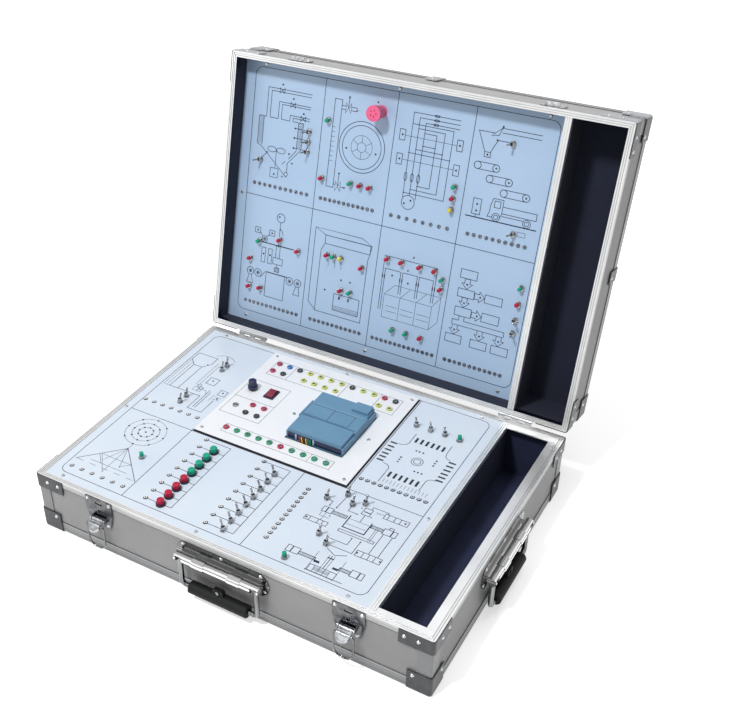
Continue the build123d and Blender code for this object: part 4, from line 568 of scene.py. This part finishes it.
rowSettings = {
    "rows": 9, "first": -38.0, "pitch": 17.5, "buttonPin": -135.5, "buttonRail": -94.4,
    "toggleRail": 2.0, "togglePin": -40.0, "ring": 2.9,
}
rowHeights = [rowSettings["first"] - rowSettings["pitch"] * i for i in range(rowSettings["rows"])]
switchPrint = {"lines": [], "rings": []}
for pinX, railX in ((rowSettings["buttonPin"], rowSettings["buttonRail"]),
                    (rowSettings["togglePin"], rowSettings["toggleRail"])):
    switchPrint["lines"].append([(railX, rowHeights[0]), (railX, rowHeights[-1])])
    for y in rowHeights:
        switchPrint["lines"].append([(pinX + rowSettings["ring"], y), (railX, y)])
        switchPrint["rings"].append((pinX, y, rowSettings["ring"]))

gripperPrint = {
    "boxes": [(151.6, 185.2, -58.7, -49.4), (123.6, 134.8, -65, -52), (76, 90, -84.4, -74.6),
        (162.8, 181, -84.4, -74), (168.4, 174, -74, -70), (63.4, 95.6, -108.2, -100.4),
        (112.4, 162.2, -106.8, -102.6), (151, 185.2, -134.8, -125), (72.7, 90, -169, -158),
        (162, 178.8, -169, -158), (112.4, 148.8, -185, -174), (90, 111, -83, -77.4), (146, 162.8, -82, -77),
        (90, 113, -167, -162), (146.8, 162, -167, -162)],
    "lines": [[(132.4, -52), (132.4, -46.6), (154.4, -46.6), (154.4, -49.4)], [(109.6, -123.6),
        (135, -123.6), (135, -112)], [(115, -134.2), (147.4, -134.2), (147.4, -112)], [(116.6, -140.4),
        (130.6, -147.4), (144.6, -140.4)], [(71.5, -61.5), (80.8, -61.5), (80.8, -70.4)], [(92.5, -46),
        (90.9, -70.4)], [(106.5, -58), (106.5, -68), (119.4, -68)]],
    "uprights": [(129.5, -65, -80), (165.6, -84.4, -125), (178.2, -84.4, -125), (157, -49.4, -58.7),
        (166, -49.4, -58.7), (174, -49.4, -58.7), (70.4, -100.4, -108.2), (82.2, -100.4, -108.2),
        (88.6, -100.4, -108.2), (160, -125, -134.8), (168, -125, -134.8), (176, -125, -134.8),
        (129.5, -149, -174)],
    "levels": [(-184.6, 109.6, 161.4)],
    "faintLines": [[(78, -84.4), (78, -93), (92, -93)], [(140, -52.5), (142, -55), (144, -52.5), (146, -55),
        (148, -52.5), (151.6, -54)]],
    "faintUprights": [(153.8, -81.6, -105.4), (156.6, -81.6, -105.4), (111, -150, -187),
        (148.8, -150, -187), (119, -174, -185), (126, -174, -185), (133, -174, -185), (140, -174, -185),
        (84, -84.4, -100.4), (126, -149, -174), (133, -149, -174)],
    "faintLevels": [(-80, 116, 143), (-90, 116, 143)],
    "boldLines": [[(114.1, -74), (114.1, -97.6), (144.6, -97.6), (144.6, -74)]],
    "boldUprights": [(82, -75, -84), (174.5, -74.5, -84), (79.7, -158.4, -168.6), (172.6, -158.4, -168.6)],
    "boldLevels": [(-59.2, 125, 134.2), (-154.4, 125, 134.2)],
    "fills": [(113, 120.8, -169.2, -165.6), (139, 146.8, -169.2, -165.6)],
    "hatches": [(90, 111, -83, -77.4, 2.5), (90, 113, -167, -162, 2.5), (146, 162.8, -82, -77, 2.5),
        (146.8, 162, -167, -162, 2.5), (119, 140, -182, -176, 2.2)],
    "dots": [(x, y, 1.1) for x, y in ((119.4, -55), (138, -65), (80.8, -70.4), (90.9, -70.4), (90.9, -88.6),
        (135, -111), (147.4, -111), (119.4, -68))],
}

crossingSettings = {
    "barAcross": (119.6, 8.1, 6), "barWidth": 3.4, "top": (100.5, 111.5),
    "bottom": (17.0, 28.5),
}
crossingPrint = {
    "fills": [],
    "rings": [(140.4, 64.3, 8.1), (140.4, 64.3, 5.0)],
    "lines": [[(113, 119), (113, 95), (110.8, 90.5), (106.5, 88), (100.8, 87)], [(167.8, 118), (167.8, 99),
        (169.5, 92.5), (173, 89.4), (178, 88)], [(100.8, 40.7), (106.5, 39.8), (110.8, 37.4), (113, 32.6),
        (113, 3)], [(179.5, 40.2), (173.4, 39.6), (169.6, 37.4), (167.8, 32.6), (167.8, 11)]],
    "faintLines": [[(113 + 5.2 * i, 12), (113 + 5.2 * i, 4)] for i in range(1, 14)],
}
barStart, barPitch, barCount = crossingSettings["barAcross"]
for i in range(barCount):
    x = barStart + barPitch * i
    half = crossingSettings["barWidth"] / 2
    crossingPrint["fills"] += [(x - half, x + half, *crossingSettings[side]) for side in ("top", "bottom")]
crossingPrint["fills"] += [(89.5, 99.5, y - 1.5, y + 1.5) for y in (86, 77, 68.5, 60, 52, 44)]
crossingPrint["fills"] += [(177.5, 188, y - 1.5, y + 1.5) for y in (84.5, 76, 67, 58.5, 50.5, 42.5)]
crossingLamps = [(x, 85) for x in (129.3, 134, 139.6)] + [(162.7, y) for y in (78.2, 72.5, 67)]
crossingLamps += [(117.1, y) for y in (62.4, 57, 51.6)] + [(x, 44.2) for x in (145.6, 151, 156.4)]

panelTop = -1.0
basePrints = [borderPrint, tankPrint, fountainPrint, switchPrint, gripperPrint]
printSheet("base_panel_print", baseMatrix, panelTop, basePrints, "blueBlackScreenInk", "case")
printSheet("crossing_print", baseMatrix, panelTop, [crossingPrint], "solidBlackInk", "case")

modulePrint = {
    "faintBoxes": [(-147, 65, 137, 175), (-157, -90, 26, 116), (-129, 46, -13, 5)],
    "faintLines": [[(x, 137), (x, 175)] for x in (-113, -24, 31)] + [[(-157, 69), (-90, 69)], [(11, -13),
        (11, 5)]],
}
moduleTop = 2.0
printSheet("module_print", baseMatrix, moduleTop, [modulePrint], "blueBlackScreenInk", "case")
pinRing = 2.95
pinPrint = {"boldRings": [(x, y, pinRing) for x, y in looseMiddles(nodes["pin_sockets"], baseMatrix)]}
printSheet("pin_ring_print", baseMatrix, panelTop, [pinPrint], "solidBlackInk", "case")
# painted shadow: a black strip on the panel along the module's front and right edges
gasketShadowPrint = {"boldLines": [[(-164.6, -29.3), (82.9, -29.3), (82.9, 193.0)]]}
printSheet("module_gasket_shadow", baseMatrix, panelTop, [gasketShadowPrint], "solidBlackInk", "case")
print("base prints drawn")


# Lid print, in eight fields

def bowtie(x, y, reach, half):
    return [(x - reach, y - half), (x + reach, y + half), (x + reach, y - half), (x - reach, y + half)]


def blockArrow(x, y, length, down):
    # an outlined arrow whose tip is at x, y
    shape = [(0, 0), (-8, 8), (-4, 8), (-4, length), (4, length), (4, 8), (8, 8)]
    if down:
        return [(x + a, y + b) for a, b in shape]
    return [(x - b, y + a) for a, b in shape]


lidBorder = {
    "loops": [roundRectangle(-270, 196.5, 24, 404, 12)],
    "lines": [[(x, 24), (x, 404)] for x in (-151.5, -36, 80)] + [[(-270, 213), (196.5, 213)]],
}
mixingTank = {
    "lines": [[(-246, 334), (-246, 377.2), (-172, 377.2)], [(-240, 334), (-240, 373), (-172, 373)],
        [(-225.8, 334), (-225.8, 359), (-172, 359)], [(-220.4, 334), (-220.4, 355.7), (-172, 355.7)],
        [(-205.6, 334), (-205.6, 342.3), (-172, 342.3)], [(-200.2, 334), (-200.2, 339), (-172, 339)],
        [(-200.2, 334), (-182, 334), (-182, 295), (-202.9, 271.5), (-202.9, 257.4)], [(-258.4, 334),
        (-258.4, 292.6), (-249.3, 288), (-202.9, 250)], [(-190, 334), (-190, 292), (-202, 278)],
        [(-250, 269.5), (-240, 281.5)], [(-212, 268), (-207, 274)]],
    "uprights": [(-250, 334, 291), (-223.7, 287, 260.7)],
    "levels": [(334, -258.4, -246), (334, -240, -225.8), (334, -220.4, -205.6), (325, -195, -176),
        (311, -195, -176), (296, -195, -176)],
    "loops": [bowtie(-222.4, 375, 4, 3.6), bowtie(-202.2, 357.4, 4, 3.6), bowtie(-183.3, 340.6, 4, 3.6)]
        + [circle(x, 287.6, 7.5, 20, flat=0.55) for x in (-231.5, -215.7)],
    "rings": [(-204, 254.7, 3)],
    "boxes": [(-231.5, -218, 246, 260)],
    "hatches": [(-258.4, -250, 293, 334, 3.2), (-190, -182, 297, 334, 3.2)],
}
mixingLamps = [(-222.4, 384), (-202.2, 366.4), (-183.3, 348), (-224.7, 251), (-240, 281.5), (-201.5, 285.6),
               (-195, 272.5), (-210.3, 249.7), (-195, 325), (-195, 311), (-195, 296)]

washingDrum = {
    "boxes": [(-134, -122.3, 251.7, 379)],
    "uprights": [(-111.4, 369, 384), (-114.8, 255, 274)],
    "levels": [(371, -122.3, -115.6), (366, -122.3, -115.6), (371, -107.2, -97.3), (366, -107.2, -97.3),
        (257, -122.3, -119), (254.7, -110.6, -104)],
    "loops": [bowtie(-111.4, 368.8, 4.2, 7), bowtie(-114.8, 254.7, 4.2, 7)],
    "faintLines": [[(-134, 290 + 7 * i), (-128.5, 290 + 7 * i)] for i in range(8)] + [list(spoke)
        for spoke in zip(circle(-83.6, 317.8, 7, 6, 30), circle(-83.6, 317.8, 17, 6, 30))],
    "faintRings": [(-83.6, 317.8, 17), (-83.6, 317.8, 7)],
    "boldRings": [(-83.6, 317.8, 36.6)],
    "rings": [(-83.6, 317.8, 31)],
}
washingLamps = [(-111.4, 384), (-97.3, 368), (-108, 312.8), (-60.2, 312.4), (-114.8, 274), (-104, 254.7),
                (-66.4, 385)]

motorStart = {
    "lines": [[(-9.8, 261), (-9.8, 381), (60, 381)], [(0, 265), (0, 375), (60, 375)], [(9.8, 261),
        (9.8, 369), (60, 369)], [(9.8, 355), (28.3, 355), (28.3, 280.7), (9.8, 280.7)], [(0, 360),
        (40, 360), (40, 274.4), (0, 274.4)], [(-9.8, 365.2), (52, 365.2), (52, 268.3), (-9.8, 268.3)]],
    "levels": [(337.4, 9.8, 28.3), (331, 0, 40), (325, -9.8, 52)],
    "faintLines": [[(-19, v), (59.3, v)] for v in (347.5, 314)],
    "boxes": [(x, x + 8.5, v, v + 15) for x in (-27.3, 59.3) for v in (340.4, 306.5)],
    "loops": [circle(x, 291, 2.2, 16, flat=6 / 2.2) for x in (-9.8, 0, 9.8)]
        + [circle(25, v, 4, 14, flat=0.35) for v in (381, 375, 369)],
    "rings": [(-0.7, 255.3, 10)],
    "dots": [(x, v, 1.0) for x, v in ((9.8, 337.4), (0, 331), (-9.8, 325), (28.3, 337.4), (40, 331),
        (52, 325), (0, 274.4), (9.8, 280.7), (-9.8, 268.3))],
}
motorLamps = [(3, 258.6), (-6.4, 253)] + [(x, v) for x in (-23, 63.5) for v in (348, 314)]

conveyorLoading = {
    "lines": [[(87.2, 374.2), (99.7, 347.4)], [(115.8, 365), (107.5, 347.4)], [(119.8, 382.6), (105.7, 370),
        (115.8, 372), (119.8, 382.6)], [(139.3, 279), (187.3, 279), (187.3, 269.7), (139.3, 269.7)],
        [(121, 269.7), (118.5, 262), (126, 262)], [(136, 262), (138.6, 269.7), (138.6, 288), (124, 288),
        (121, 278)]],
    "uprights": [(121, 278, 269.7), (101.7, 261.3, 257)],
    "levels": [(374, 87, 111), (382, 120, 174.5), (376, 120, 174.5), (365.2, 115, 133), (333, 93, 119.8),
        (323, 93, 119.8), (317.6, 113, 140.6), (307.6, 113, 140.6), (302.2, 136.2, 168.1),
        (292.2, 136.2, 168.1), (266, 138.6, 170)],
    "boldLevels": [(257, 87, 190)],
    "boxes": [(99.7, 108.4, 340.7, 347.4), (95.6, 107.4, 261.3, 283), (126.5, 135, 276, 285)],
    "faintLoops": [[(165, 244), (176, 244), (176, 250), (165, 250)]],
    "boldRings": [(x, v, 5.0) for x, v in ((93, 328), (119.8, 328), (113, 312.6), (140.6, 312.6),
        (136.2, 297.2), (168.1, 297.2))],
    "rings": [(x, 263, r) for x in (130.9, 175.2) for r in (5.5, 3.0)],
}
conveyorLamps = [(119.8, 384), (115, 365.2), (101.7, 275.4), (101.7, 266.3), (104, 344), (119.8, 328),
                 (140.6, 312.6), (168.1, 297.2)]

bottleFilling = {
    "boldRings": [(-204.4, 186, 7)] + [(x, 90.6, 6.2) for x in (-251, -237, -179, -164.6)],
    "rings": [(-230, 147.5, 5), (-230, 147.5, 2.6)] + [(x, 90.6, 2.5) for x in (-251, -237, -179, -164.6)],
    "boxes": [(-248.3, -238.7, 155, 163.6), (-222.5, -213, 155, 163.6), (-233.5, -226.7, 110, 134),
        (-221.5, -214.7, 110, 134), (-208, -201, 121.8, 141), (-212, -195, 111.5, 121.8),
        (-207.8, -200, 99.5, 106.3), (-222.2, -188.2, 55.6, 95.7)],
    "boldLevels": [(142, -236.3, -177), (95.7, -222, -184)],
    "lines": [[(-238.7, 157), (-233.5, 151)], [(-222.5, 157), (-226.5, 151)], [(-224, 95.7), (-232, 84)],
        [(-253, 84), (-257, 71)], [(-249, 84), (-245.5, 71)], [(-167, 84), (-171, 71), (-160, 71),
        (-162, 84)], [(-201, 168), (-198, 160)]],
    "uprights": [(-204.4, 179, 142), (-204, 111.5, 106.3)],
    "levels": [(71, -257, -245.5)],
    "hatches": [(-207.8, -200, 99.5, 106.3, 2.2)],
}
bottleLamps = [(-207, 187.5), (-243.5, 159.3), (-217.8, 159.3), (-229.8, 123.8), (-218, 123.8), (-230, 147.5),
               (-204, 168)] + [(x, 90.6) for x in (-251, -237, -179, -164.6)]

drinkMachine = {
    "loops": [[(-142.6, 187), (-63.7, 187), (-46.6, 179), (-124.4, 178.4)]],
    "lines": [[(-142.6, 187), (-142.6, 68.6), (-128.9, 56.6)], [(-124.4, 165.4), (-130, 154), (-130, 56.6)],
        [(-48.3, 165.4), (-50.7, 156), (-50.7, 56.6), (-130, 56.6)], [(-46.6, 179), (-48.3, 165.4)]],
    "boxes": [(-124.4, -48.3, 165.4, 178.4), (-99.7, -56.2, 65.2, 91.6)],
    "hatches": [(-99.7, -56.2, 65.2, 70.6, 3.2)],
    "fills": [(-91.6, -88.8, 84, 89), (-76.1, -73.3, 84, 89)],
    "faintLines": [[(x, 143), (x + 2.5, 134), (x + 1.0, 131)] for x in (-117, -106, -95)] + [[(-99.7, 72),
        (-56.2, 72)]],
}
drinkLamps = [(-90.5, 115.3), (-75, 115.3), (-116.2, 93.7)]

batchTanks = {
    "lines": [[(-24, 171.2), (60, 171.2), (60, 118)], [(34.3, 152), (56.6, 152), (56.6, 118)]],
    "uprights": [(-24, 171.2, 88), (-20.6, 152, 88), (4.5, 152, 118), (7.9, 152, 118), (31, 152, 118),
        (34.3, 152, 118)],
    "levels": [(152, -20.6, 5), (152, 8.6, 31)],
    "fills": [(x - 0.9, x + 0.9, 137, 142.4) for x in (-24, -20.6, 4.5, 7.9, 31, 34.3, 56.6, 60)],
    "faintLines": [[(-17, 113), (-2, 130), (72, 130)], [(72, 130), (72, 92), (60, 77), (-17, 77),
        (-17, 113), (60, 113), (72, 130)], [(9, 113), (24, 130)], [(35, 113), (50, 130)]],
    "faintUprights": [(60, 113, 77), (9, 113, 77), (35, 113, 77)],
    "faintLevels": [(96, -12, 6), (96, 12, 32), (96, 38, 58), (88, -12, 6), (88, 12, 32), (88, 38, 58)],
}
batchLamps = [(21.3, 178.4), (14.8, 157), (-8.6, 143.7), (17.8, 138)]

processChart = {
    "boxes": [(95.4, 120.4, 168, 180.8), (95.4, 120.4, 140, 152), (95.4, 120.4, 111.5, 124.5),
        (136.5, 162.3, 140, 152), (136.5, 162.3, 111.5, 124.5), (87.5, 112.2, 69.3, 81.6),
        (126, 151, 69.3, 81.6), (158, 183.2, 69.3, 81.6)],
    "loops": [blockArrow(107.4, 152.6, 15, True), blockArrow(107.4, 125, 14.6, True),
        blockArrow(136, 145.8, 15, False), blockArrow(136, 117.7, 15, False)] + [blockArrow(x, 82, 15, True)
        for x in (99.5, 138, 167)],
    "lines": [[(103.5, 111.5), (103.5, 104.6), (94, 104.6), (94, 97)], [(111.4, 111.5), (111.4, 104.6),
        (173, 104.6), (173, 97)]],
    "levels": [(97, 104, 134), (97, 142, 163)],
}
processLamps = [(107.4, 159.5), (107.4, 131.5), (129.5, 145.8), (129.5, 117.7)]
processLamps += [(x, 89.2) for x in (99.5, 138, 167)]

lidPanelTop = -30.0
lidPrints = [lidBorder, mixingTank, washingDrum, motorStart, conveyorLoading, bottleFilling, drinkMachine,
             batchTanks, processChart]
printSheet("lid_panel_print", lidMatrix, lidPanelTop, lidPrints, "blueBlackScreenInk", "lid")
lidPinPrint = {"rings": [(x, y, 2.6) for x, y in looseMiddles(nodes["lid_pin_sockets"], lidMatrix)]}
printSheet("lid_pin_ring_print", lidMatrix, lidPanelTop, [lidPinPrint], "solidBlackInk", "lid")
print("lid print drawn")


# Signal lamps

lampSettings = {"radius": 1.45, "height": 1.1, "sunk": 1.0}


def lampSet(name, matrix, surface, places, body):
    bm = bmesh.new()
    r, h, s = lampSettings["radius"], lampSettings["height"], lampSettings["sunk"]
    dome = [(r * out, surface + h * up) for out, up in ((0.0, 1.0), (0.45, 0.92), (0.8, 0.66), (1.0, 0.2))]
    profile = dome + [(r, surface - s), (0.0, surface - s)]
    for place in places:
        turned(bm, matrix, place, profile, 12)
    return keepPiece(bm, name, ["smokedLampLens"], body, 50)


tankLamps = [(-207.7, 84), (-177, 65), (-177, 49)]
gripperLamps = [(181, -54), (65.7, -104.3), (152.4, -129.8), (183.8, -129.8)]
baseLamps = fountainLamps + crossingLamps + tankLamps + gripperLamps
lampSet("base_signal_lamps", baseMatrix, panelTop, baseLamps, "case")
lidLamps = (mixingLamps + washingLamps + motorLamps + conveyorLamps + bottleLamps + drinkLamps + batchLamps
            + processLamps)
lampSet("lid_signal_lamps", lidMatrix, lidPanelTop, lidLamps, "lid")
print("lamps set:", len(lidLamps), "in the lid")


# Test sockets of the module, as coloured collars round plated sleeves

jackSettings = {
    "collar": 4.4, "shank": 3.8, "bore": 2.3, "sleeve": 1.3, "cup": 1.2, "height": 2.6, "length": 14.0,
    "edge": 0.5,
    "columns": (-141, -123, -105, -87, -69, -51, -33, -15, 3, 21, 38.5, 56),
    "rearColours": "rukyyyykyyrk",
    "secondColours": "rk-yyyy---yy",
    "rearRow": 167.5, "secondRow": 147.5,
    "frontStart": -125.0, "frontRow": -3.5, "frontPitch": 18.0, "frontColours": "rggggrgggg",
    "pairs": ((-120, 58.5, "r"), (-101, 58.5, "r"), (-120, 38.5, "k"), (-101, 38.5, "k"),
        (-142.5, 47, "c")),
    "finishes": {"r": "redCollarPlastic", "u": "blueCollarPlastic", "k": "blackCollarPlastic",
        "y": "limeCollarPlastic", "g": "greenCollarPlastic", "c": "brightNickelPlate"},
}
jacks = jackSettings
jackPlaces = list(jacks["pairs"])
for x, rear, second in zip(jacks["columns"], jacks["rearColours"], jacks["secondColours"]):
    jackPlaces.append((x, jacks["rearRow"], rear))
    if second != "-":
        jackPlaces.append((x, jacks["secondRow"], second))
for i, letter in enumerate(jacks["frontColours"]):
    jackPlaces.append((jacks["frontStart"] + jacks["frontPitch"] * i, jacks["frontRow"], letter))


def makeJacks():
    bm = bmesh.new()
    j = jackSettings
    top = moduleTop + j["height"]
    edge = j["edge"]
    foot = moduleTop - j["length"]
    collar = [(j["bore"], foot), (j["bore"], top - edge), (j["bore"] + edge, top), (j["collar"] - edge, top),
              (j["collar"], top - edge), (j["collar"], moduleTop), (j["shank"], moduleTop),
              (j["shank"], foot), (j["bore"], foot)]
    sleeveTop = top - 0.6
    cup = sleeveTop - j["cup"]
    sleeve = [(0.0, cup), (j["sleeve"], cup), (j["sleeve"], sleeveTop), (j["bore"] - 0.05, sleeveTop),
              (j["bore"] - 0.05, foot + 2), (0.0, foot + 2)]
    letters = list(j["finishes"])
    for x, y, letter in jackPlaces:
        turned(bm, baseMatrix, (x, y), collar, 24, letters.index(letter))
        turned(bm, baseMatrix, (x, y), sleeve, 16, letters.index("c"))
    piece = keepPiece(bm, "test_socket_collars", list(j["finishes"].values()), "case")
    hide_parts("jack_sockets")
    return piece


makeJacks()
print("test sockets made:", len(jackPlaces))


# Coloured caps of the lid's small push buttons

lidCapSettings = {
    "radius": 2.9, "top": 9.5, "foot": -6.0, "round": 1.2,
    "finishes": {"r": "crimsonCapPlastic", "g": "greenCapPlastic", "y": "yellowCapPlastic"},
    "places": ((-141.0, 347.0, "g"), (-142.0, 262.0, "r"), (-94.0, 263.5, "g"), (-78.0, 263.5, "r"),
        (-62.5, 263.5, "r"), (65.5, 292.0, "g"), (65.5, 275.5, "r"), (65.5, 259.5, "y"),
        (-239.0, 143.0, "g"), (-202.0, 152.5, "r"), (-169.0, 142.5, "r"), (-252.5, 112.0, "r"),
        (-250.5, 66.0, "r"), (-230.0, 68.0, "r"), (-118.0, 149.0, "r"), (-107.0, 149.0, "g"),
        (-95.0, 149.0, "y"), (-58.5, 143.0, "r"), (-88.5, 99.5, "r"), (-73.0, 100.0, "g"),
        (-19.0, 167.0, "r"), (4.0, 167.0, "r"), (33.0, 167.0, "r"), (56.5, 167.0, "r"), (69.5, 157.0, "g"),
        (69.5, 142.5, "r"), (4.5, 62.0, "g"), (26.5, 62.0, "g"), (50.5, 62.0, "r"), (185.0, 174.5, "g"),
        (185.0, 151.0, "r")),
}


def makeLidCaps():
    bm = bmesh.new()
    c = lidCapSettings
    r, top, bend = c["radius"], lidPanelTop + c["top"], c["round"]
    turns = [math.radians(22.5 * i) for i in range(5)]
    arc = [(r - bend + bend * math.sin(a), top - bend + bend * math.cos(a)) for a in turns]
    profile = [(0.0, top)] + arc + [(r, lidPanelTop + c["foot"]), (0.0, lidPanelTop + c["foot"])]
    letters = list(c["finishes"])
    for x, v, letter in c["places"]:
        turned(bm, lidMatrix, (x, v), profile, 20, letters.index(letter))
    piece = keepPiece(bm, "lid_button_caps", list(c["finishes"].values()), "lid_push_buttons", 50)
    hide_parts("lid_push_buttons")
    return piece


makeLidCaps()
print("lid caps made")


# Controller: seams on the top, terminal strip and wires at the front

plcSettings = {
    "top": 17.0, "front": 22.0,
    "seams": [(-38, 0, 63, 89), (0, 33, 63, 89)],
    "strip": {"x": (-38.5, 46.5), "z": (2.6, 11.6), "depth": 0.5},
    "ribs": (-25.0, 3.0), "ribWidth": 2.6, "bite": 0.05, "round": 0.12,
    "wires": ((-19.0, "redWireSkin"), (-15.6, "yellowWireSkin"), (-12.2, "brownWireSkin"),
        (-8.8, "yellowWireSkin"), (-5.4, "tealWireSkin"), (-2.0, "tealWireSkin")),
    "wireRadius": 0.85, "wireStart": 9.5, "wireLow": -6.0, "wireOut": 2.0, "lean": 2.4,
}


def addBlock(bm, x, y, z, index=0):
    made = bmesh.ops.create_cube(bm, size=1.0)["verts"]
    size = Vector((x[1] - x[0], y[1] - y[0], z[1] - z[0]))
    middle = Vector(((x[0] + x[1]) / 2, (y[0] + y[1]) / 2, (z[0] + z[1]) / 2))
    bmesh.ops.transform(bm, matrix=Matrix.Translation(middle) @ Matrix.Diagonal((*size, 1)), verts=made)
    for face in {f for v in made for f in v.link_faces}:
        face.material_index = index
    return made


def makeTerminalStrip():
    bm = bmesh.new()
    p = plcSettings
    strip = p["strip"]
    front = p["front"]
    face = front - strip["depth"]
    half = p["ribWidth"] / 2
    addBlock(bm, strip["x"], (face, front + p["bite"]), strip["z"], 0)
    for x in p["ribs"]:
        addBlock(bm, (x - half, x + half), (face - strip["depth"], face), strip["z"], 1)
    bmesh.ops.bevel(bm, geom=bm.edges[:], offset=p["round"], offset_type="OFFSET", segments=2, profile=0.5,
                    affect="EDGES", material=-1)
    bmesh.ops.transform(bm, matrix=baseMatrix, verts=bm.verts)
    finishes = ["navyTerminalPlastic", "paleTerminalPlastic"]
    return keepPiece(bm, "terminal_strip", finishes, "case")


def tube(bm, path, radius, index, around=10):
    rings = []
    for i, point in enumerate(path):
        ahead = Vector(path[min(i + 1, len(path) - 1)]) - Vector(path[max(i - 1, 0)])
        turn = ahead.to_track_quat("Z", "X").to_matrix()
        spots = [turn @ Vector((*spot, 0)) for spot in circle(0, 0, radius, around)]
        rings.append([bm.verts.new(Vector(point) + spot) for spot in spots])
    for first, second in zip(rings, rings[1:]):
        for k in range(around):
            face = bm.faces.new((first[k], first[(k + 1) % around], second[(k + 1) % around], second[k]))
            face.material_index = index
    for ring in (rings[0], rings[-1]):
        bm.faces.new(ring).material_index = index


def makeWires():
    bm = bmesh.new()
    p = plcSettings
    names = []
    for x, finishName in p["wires"]:
        if finishName not in names:
            names.append(finishName)
        y = p["front"] - p["wireOut"]
        start = p["wireStart"]
        bend = Vector((x + 0.6, y, start - 1.6))
        drop = Vector((p["lean"], 0.0, p["wireLow"] - bend.z))
        path = [(x, p["front"] - 0.4, start), (x + 0.2, y + 0.6, start - 0.3), bend]
        path += [bend + drop * t for t in (0.25, 0.5, 0.75, 1.0)]
        tube(bm, path, p["wireRadius"], names.index(finishName))
    bmesh.ops.transform(bm, matrix=baseMatrix, verts=bm.verts)
    return keepPiece(bm, "terminal_wires", names, "case", 50)


makeTerminalStrip()
makeWires()
printSheet("controller_seams", baseMatrix, plcSettings["top"], [{"faintBoxes": plcSettings["seams"]}],
           "blueBlackScreenInk", "case")
print("controller dressed")


# Floor, light and camera

studioSettings = {
    "floorHalf": 12.0, "floorColour": "#f4f4f4", "floorGlow": 0.55,
    "worldStrength": 0.29,
    # name, place, aim, size, power
    "lamps": (("keyLight", (-0.45, -1.6, 2.8), (0.0, 0.0, 0.2), 0.4, 66.0),
        ("fillLight", (-1.8, -1.25, 1.05), (-0.1, -0.2, 0.1), 1.4, 8.5),
        ("topLight", (0.2, 0.6, 3.2), (0.0, 0.0, 0.0), 2.4, 30.0)),
    "cameraPlace": (0.58577, -1.05916, 1.03349),
    "cameraAxes": ((0.85026, 0.52562, -0.02784), (-0.28683, 0.50705, 0.81279), (0.44134, -0.6831, 0.58189)),
    "lens": 52.69, "shift": (0.1262, 0.0402),
}


def litByPath(tree, lit, shown):
    # what the camera, mirrors and glass see is "shown"; everything else gets "lit"
    rays = addNode(tree, "ShaderNodeLightPath")
    mirror = calculate(tree, "MAXIMUM", rays.outputs["Is Camera Ray"], rays.outputs["Is Glossy Ray"])
    seen = calculate(tree, "MAXIMUM", mirror, rays.outputs["Is Transmission Ray"])
    return addNode(tree, "ShaderNodeMixShader", {0: seen, 1: lit, 2: shown}).outputs[0]


def makeFloor():
    bm = bmesh.new()
    bmesh.ops.create_grid(bm, x_segments=2, y_segments=2, size=studioSettings["floorHalf"])
    mesh = bpy.data.meshes.new("studio_floor")
    bm.to_mesh(mesh)
    bm.free()
    floor = bpy.data.objects.new("studio_floor", mesh)
    bpy.context.scene.collection.objects.link(floor)
    material = bpy.data.materials.new("whitePaperSweep")
    material.use_nodes = True
    tree = material.node_tree
    shader = tree.nodes["Principled BSDF"]
    place = addNode(tree, "ShaderNodeTexCoord").outputs["Object"]
    white = linearColour(studioSettings["floorColour"])
    paper = mixColour(tree, noiseAt(tree, place, 400), white, linearColour("#f1f1f1"))
    tree.links.new(paper, shader.inputs["Base Color"])
    shader.inputs["Roughness"].default_value = 0.9
    shader.inputs["Specular IOR Level"].default_value = 0.0
    glow = addNode(tree, "ShaderNodeEmission", {"Strength": studioSettings["floorGlow"]})
    glow.inputs["Color"].default_value = (1, 1, 1, 1)
    both = addNode(tree, "ShaderNodeAddShader", {0: shader.outputs[0], 1: glow.outputs[0]})
    surfaceOut = litByPath(tree, shader.outputs[0], both.outputs[0])
    tree.links.new(surfaceOut, tree.nodes["Material Output"].inputs["Surface"])
    mesh.materials.append(material)


def makeWorld():
    world = bpy.data.worlds.new("studioWorld")
    bpy.context.scene.world = world
    world.use_nodes = True
    tree = world.node_tree
    soft = tree.nodes["Background"]
    soft.inputs["Color"].default_value = (1, 1, 1, 1)
    soft.inputs["Strength"].default_value = studioSettings["worldStrength"]
    bright = addNode(tree, "ShaderNodeBackground", {"Color": (1, 1, 1, 1), "Strength": 1.0})
    mixed = litByPath(tree, soft.outputs[0], bright.outputs[0])
    tree.links.new(mixed, tree.nodes["World Output"].inputs["Surface"])


def makeLamps():
    for name, place, aim, size, power in studioSettings["lamps"]:
        lamp = bpy.data.lights.new(name, "AREA")
        lamp.shape = "DISK"
        lamp.size = size
        lamp.energy = power
        holder = bpy.data.objects.new(name, lamp)
        bpy.context.scene.collection.objects.link(holder)
        holder.location = place
        holder.rotation_euler = (Vector(aim) - Vector(place)).to_track_quat("-Z", "Y").to_euler()


def makeCamera():
    data = bpy.data.cameras.new("photoCamera")
    data.lens = studioSettings["lens"]
    data.sensor_width = 36.0
    data.sensor_fit = "HORIZONTAL"
    data.shift_x, data.shift_y = studioSettings["shift"]
    data.clip_end = 60.0
    camera = bpy.data.objects.new("photoCamera", data)
    bpy.context.scene.collection.objects.link(camera)
    turn = Matrix(studioSettings["cameraAxes"]).transposed().to_4x4()
    camera.matrix_world = Matrix.Translation(studioSettings["cameraPlace"]) @ turn
    bpy.context.scene.camera = camera


makeFloor()
makeWorld()
makeLamps()
makeCamera()
bpy.context.scene.view_settings.view_transform = "Standard"
print("studio ready")
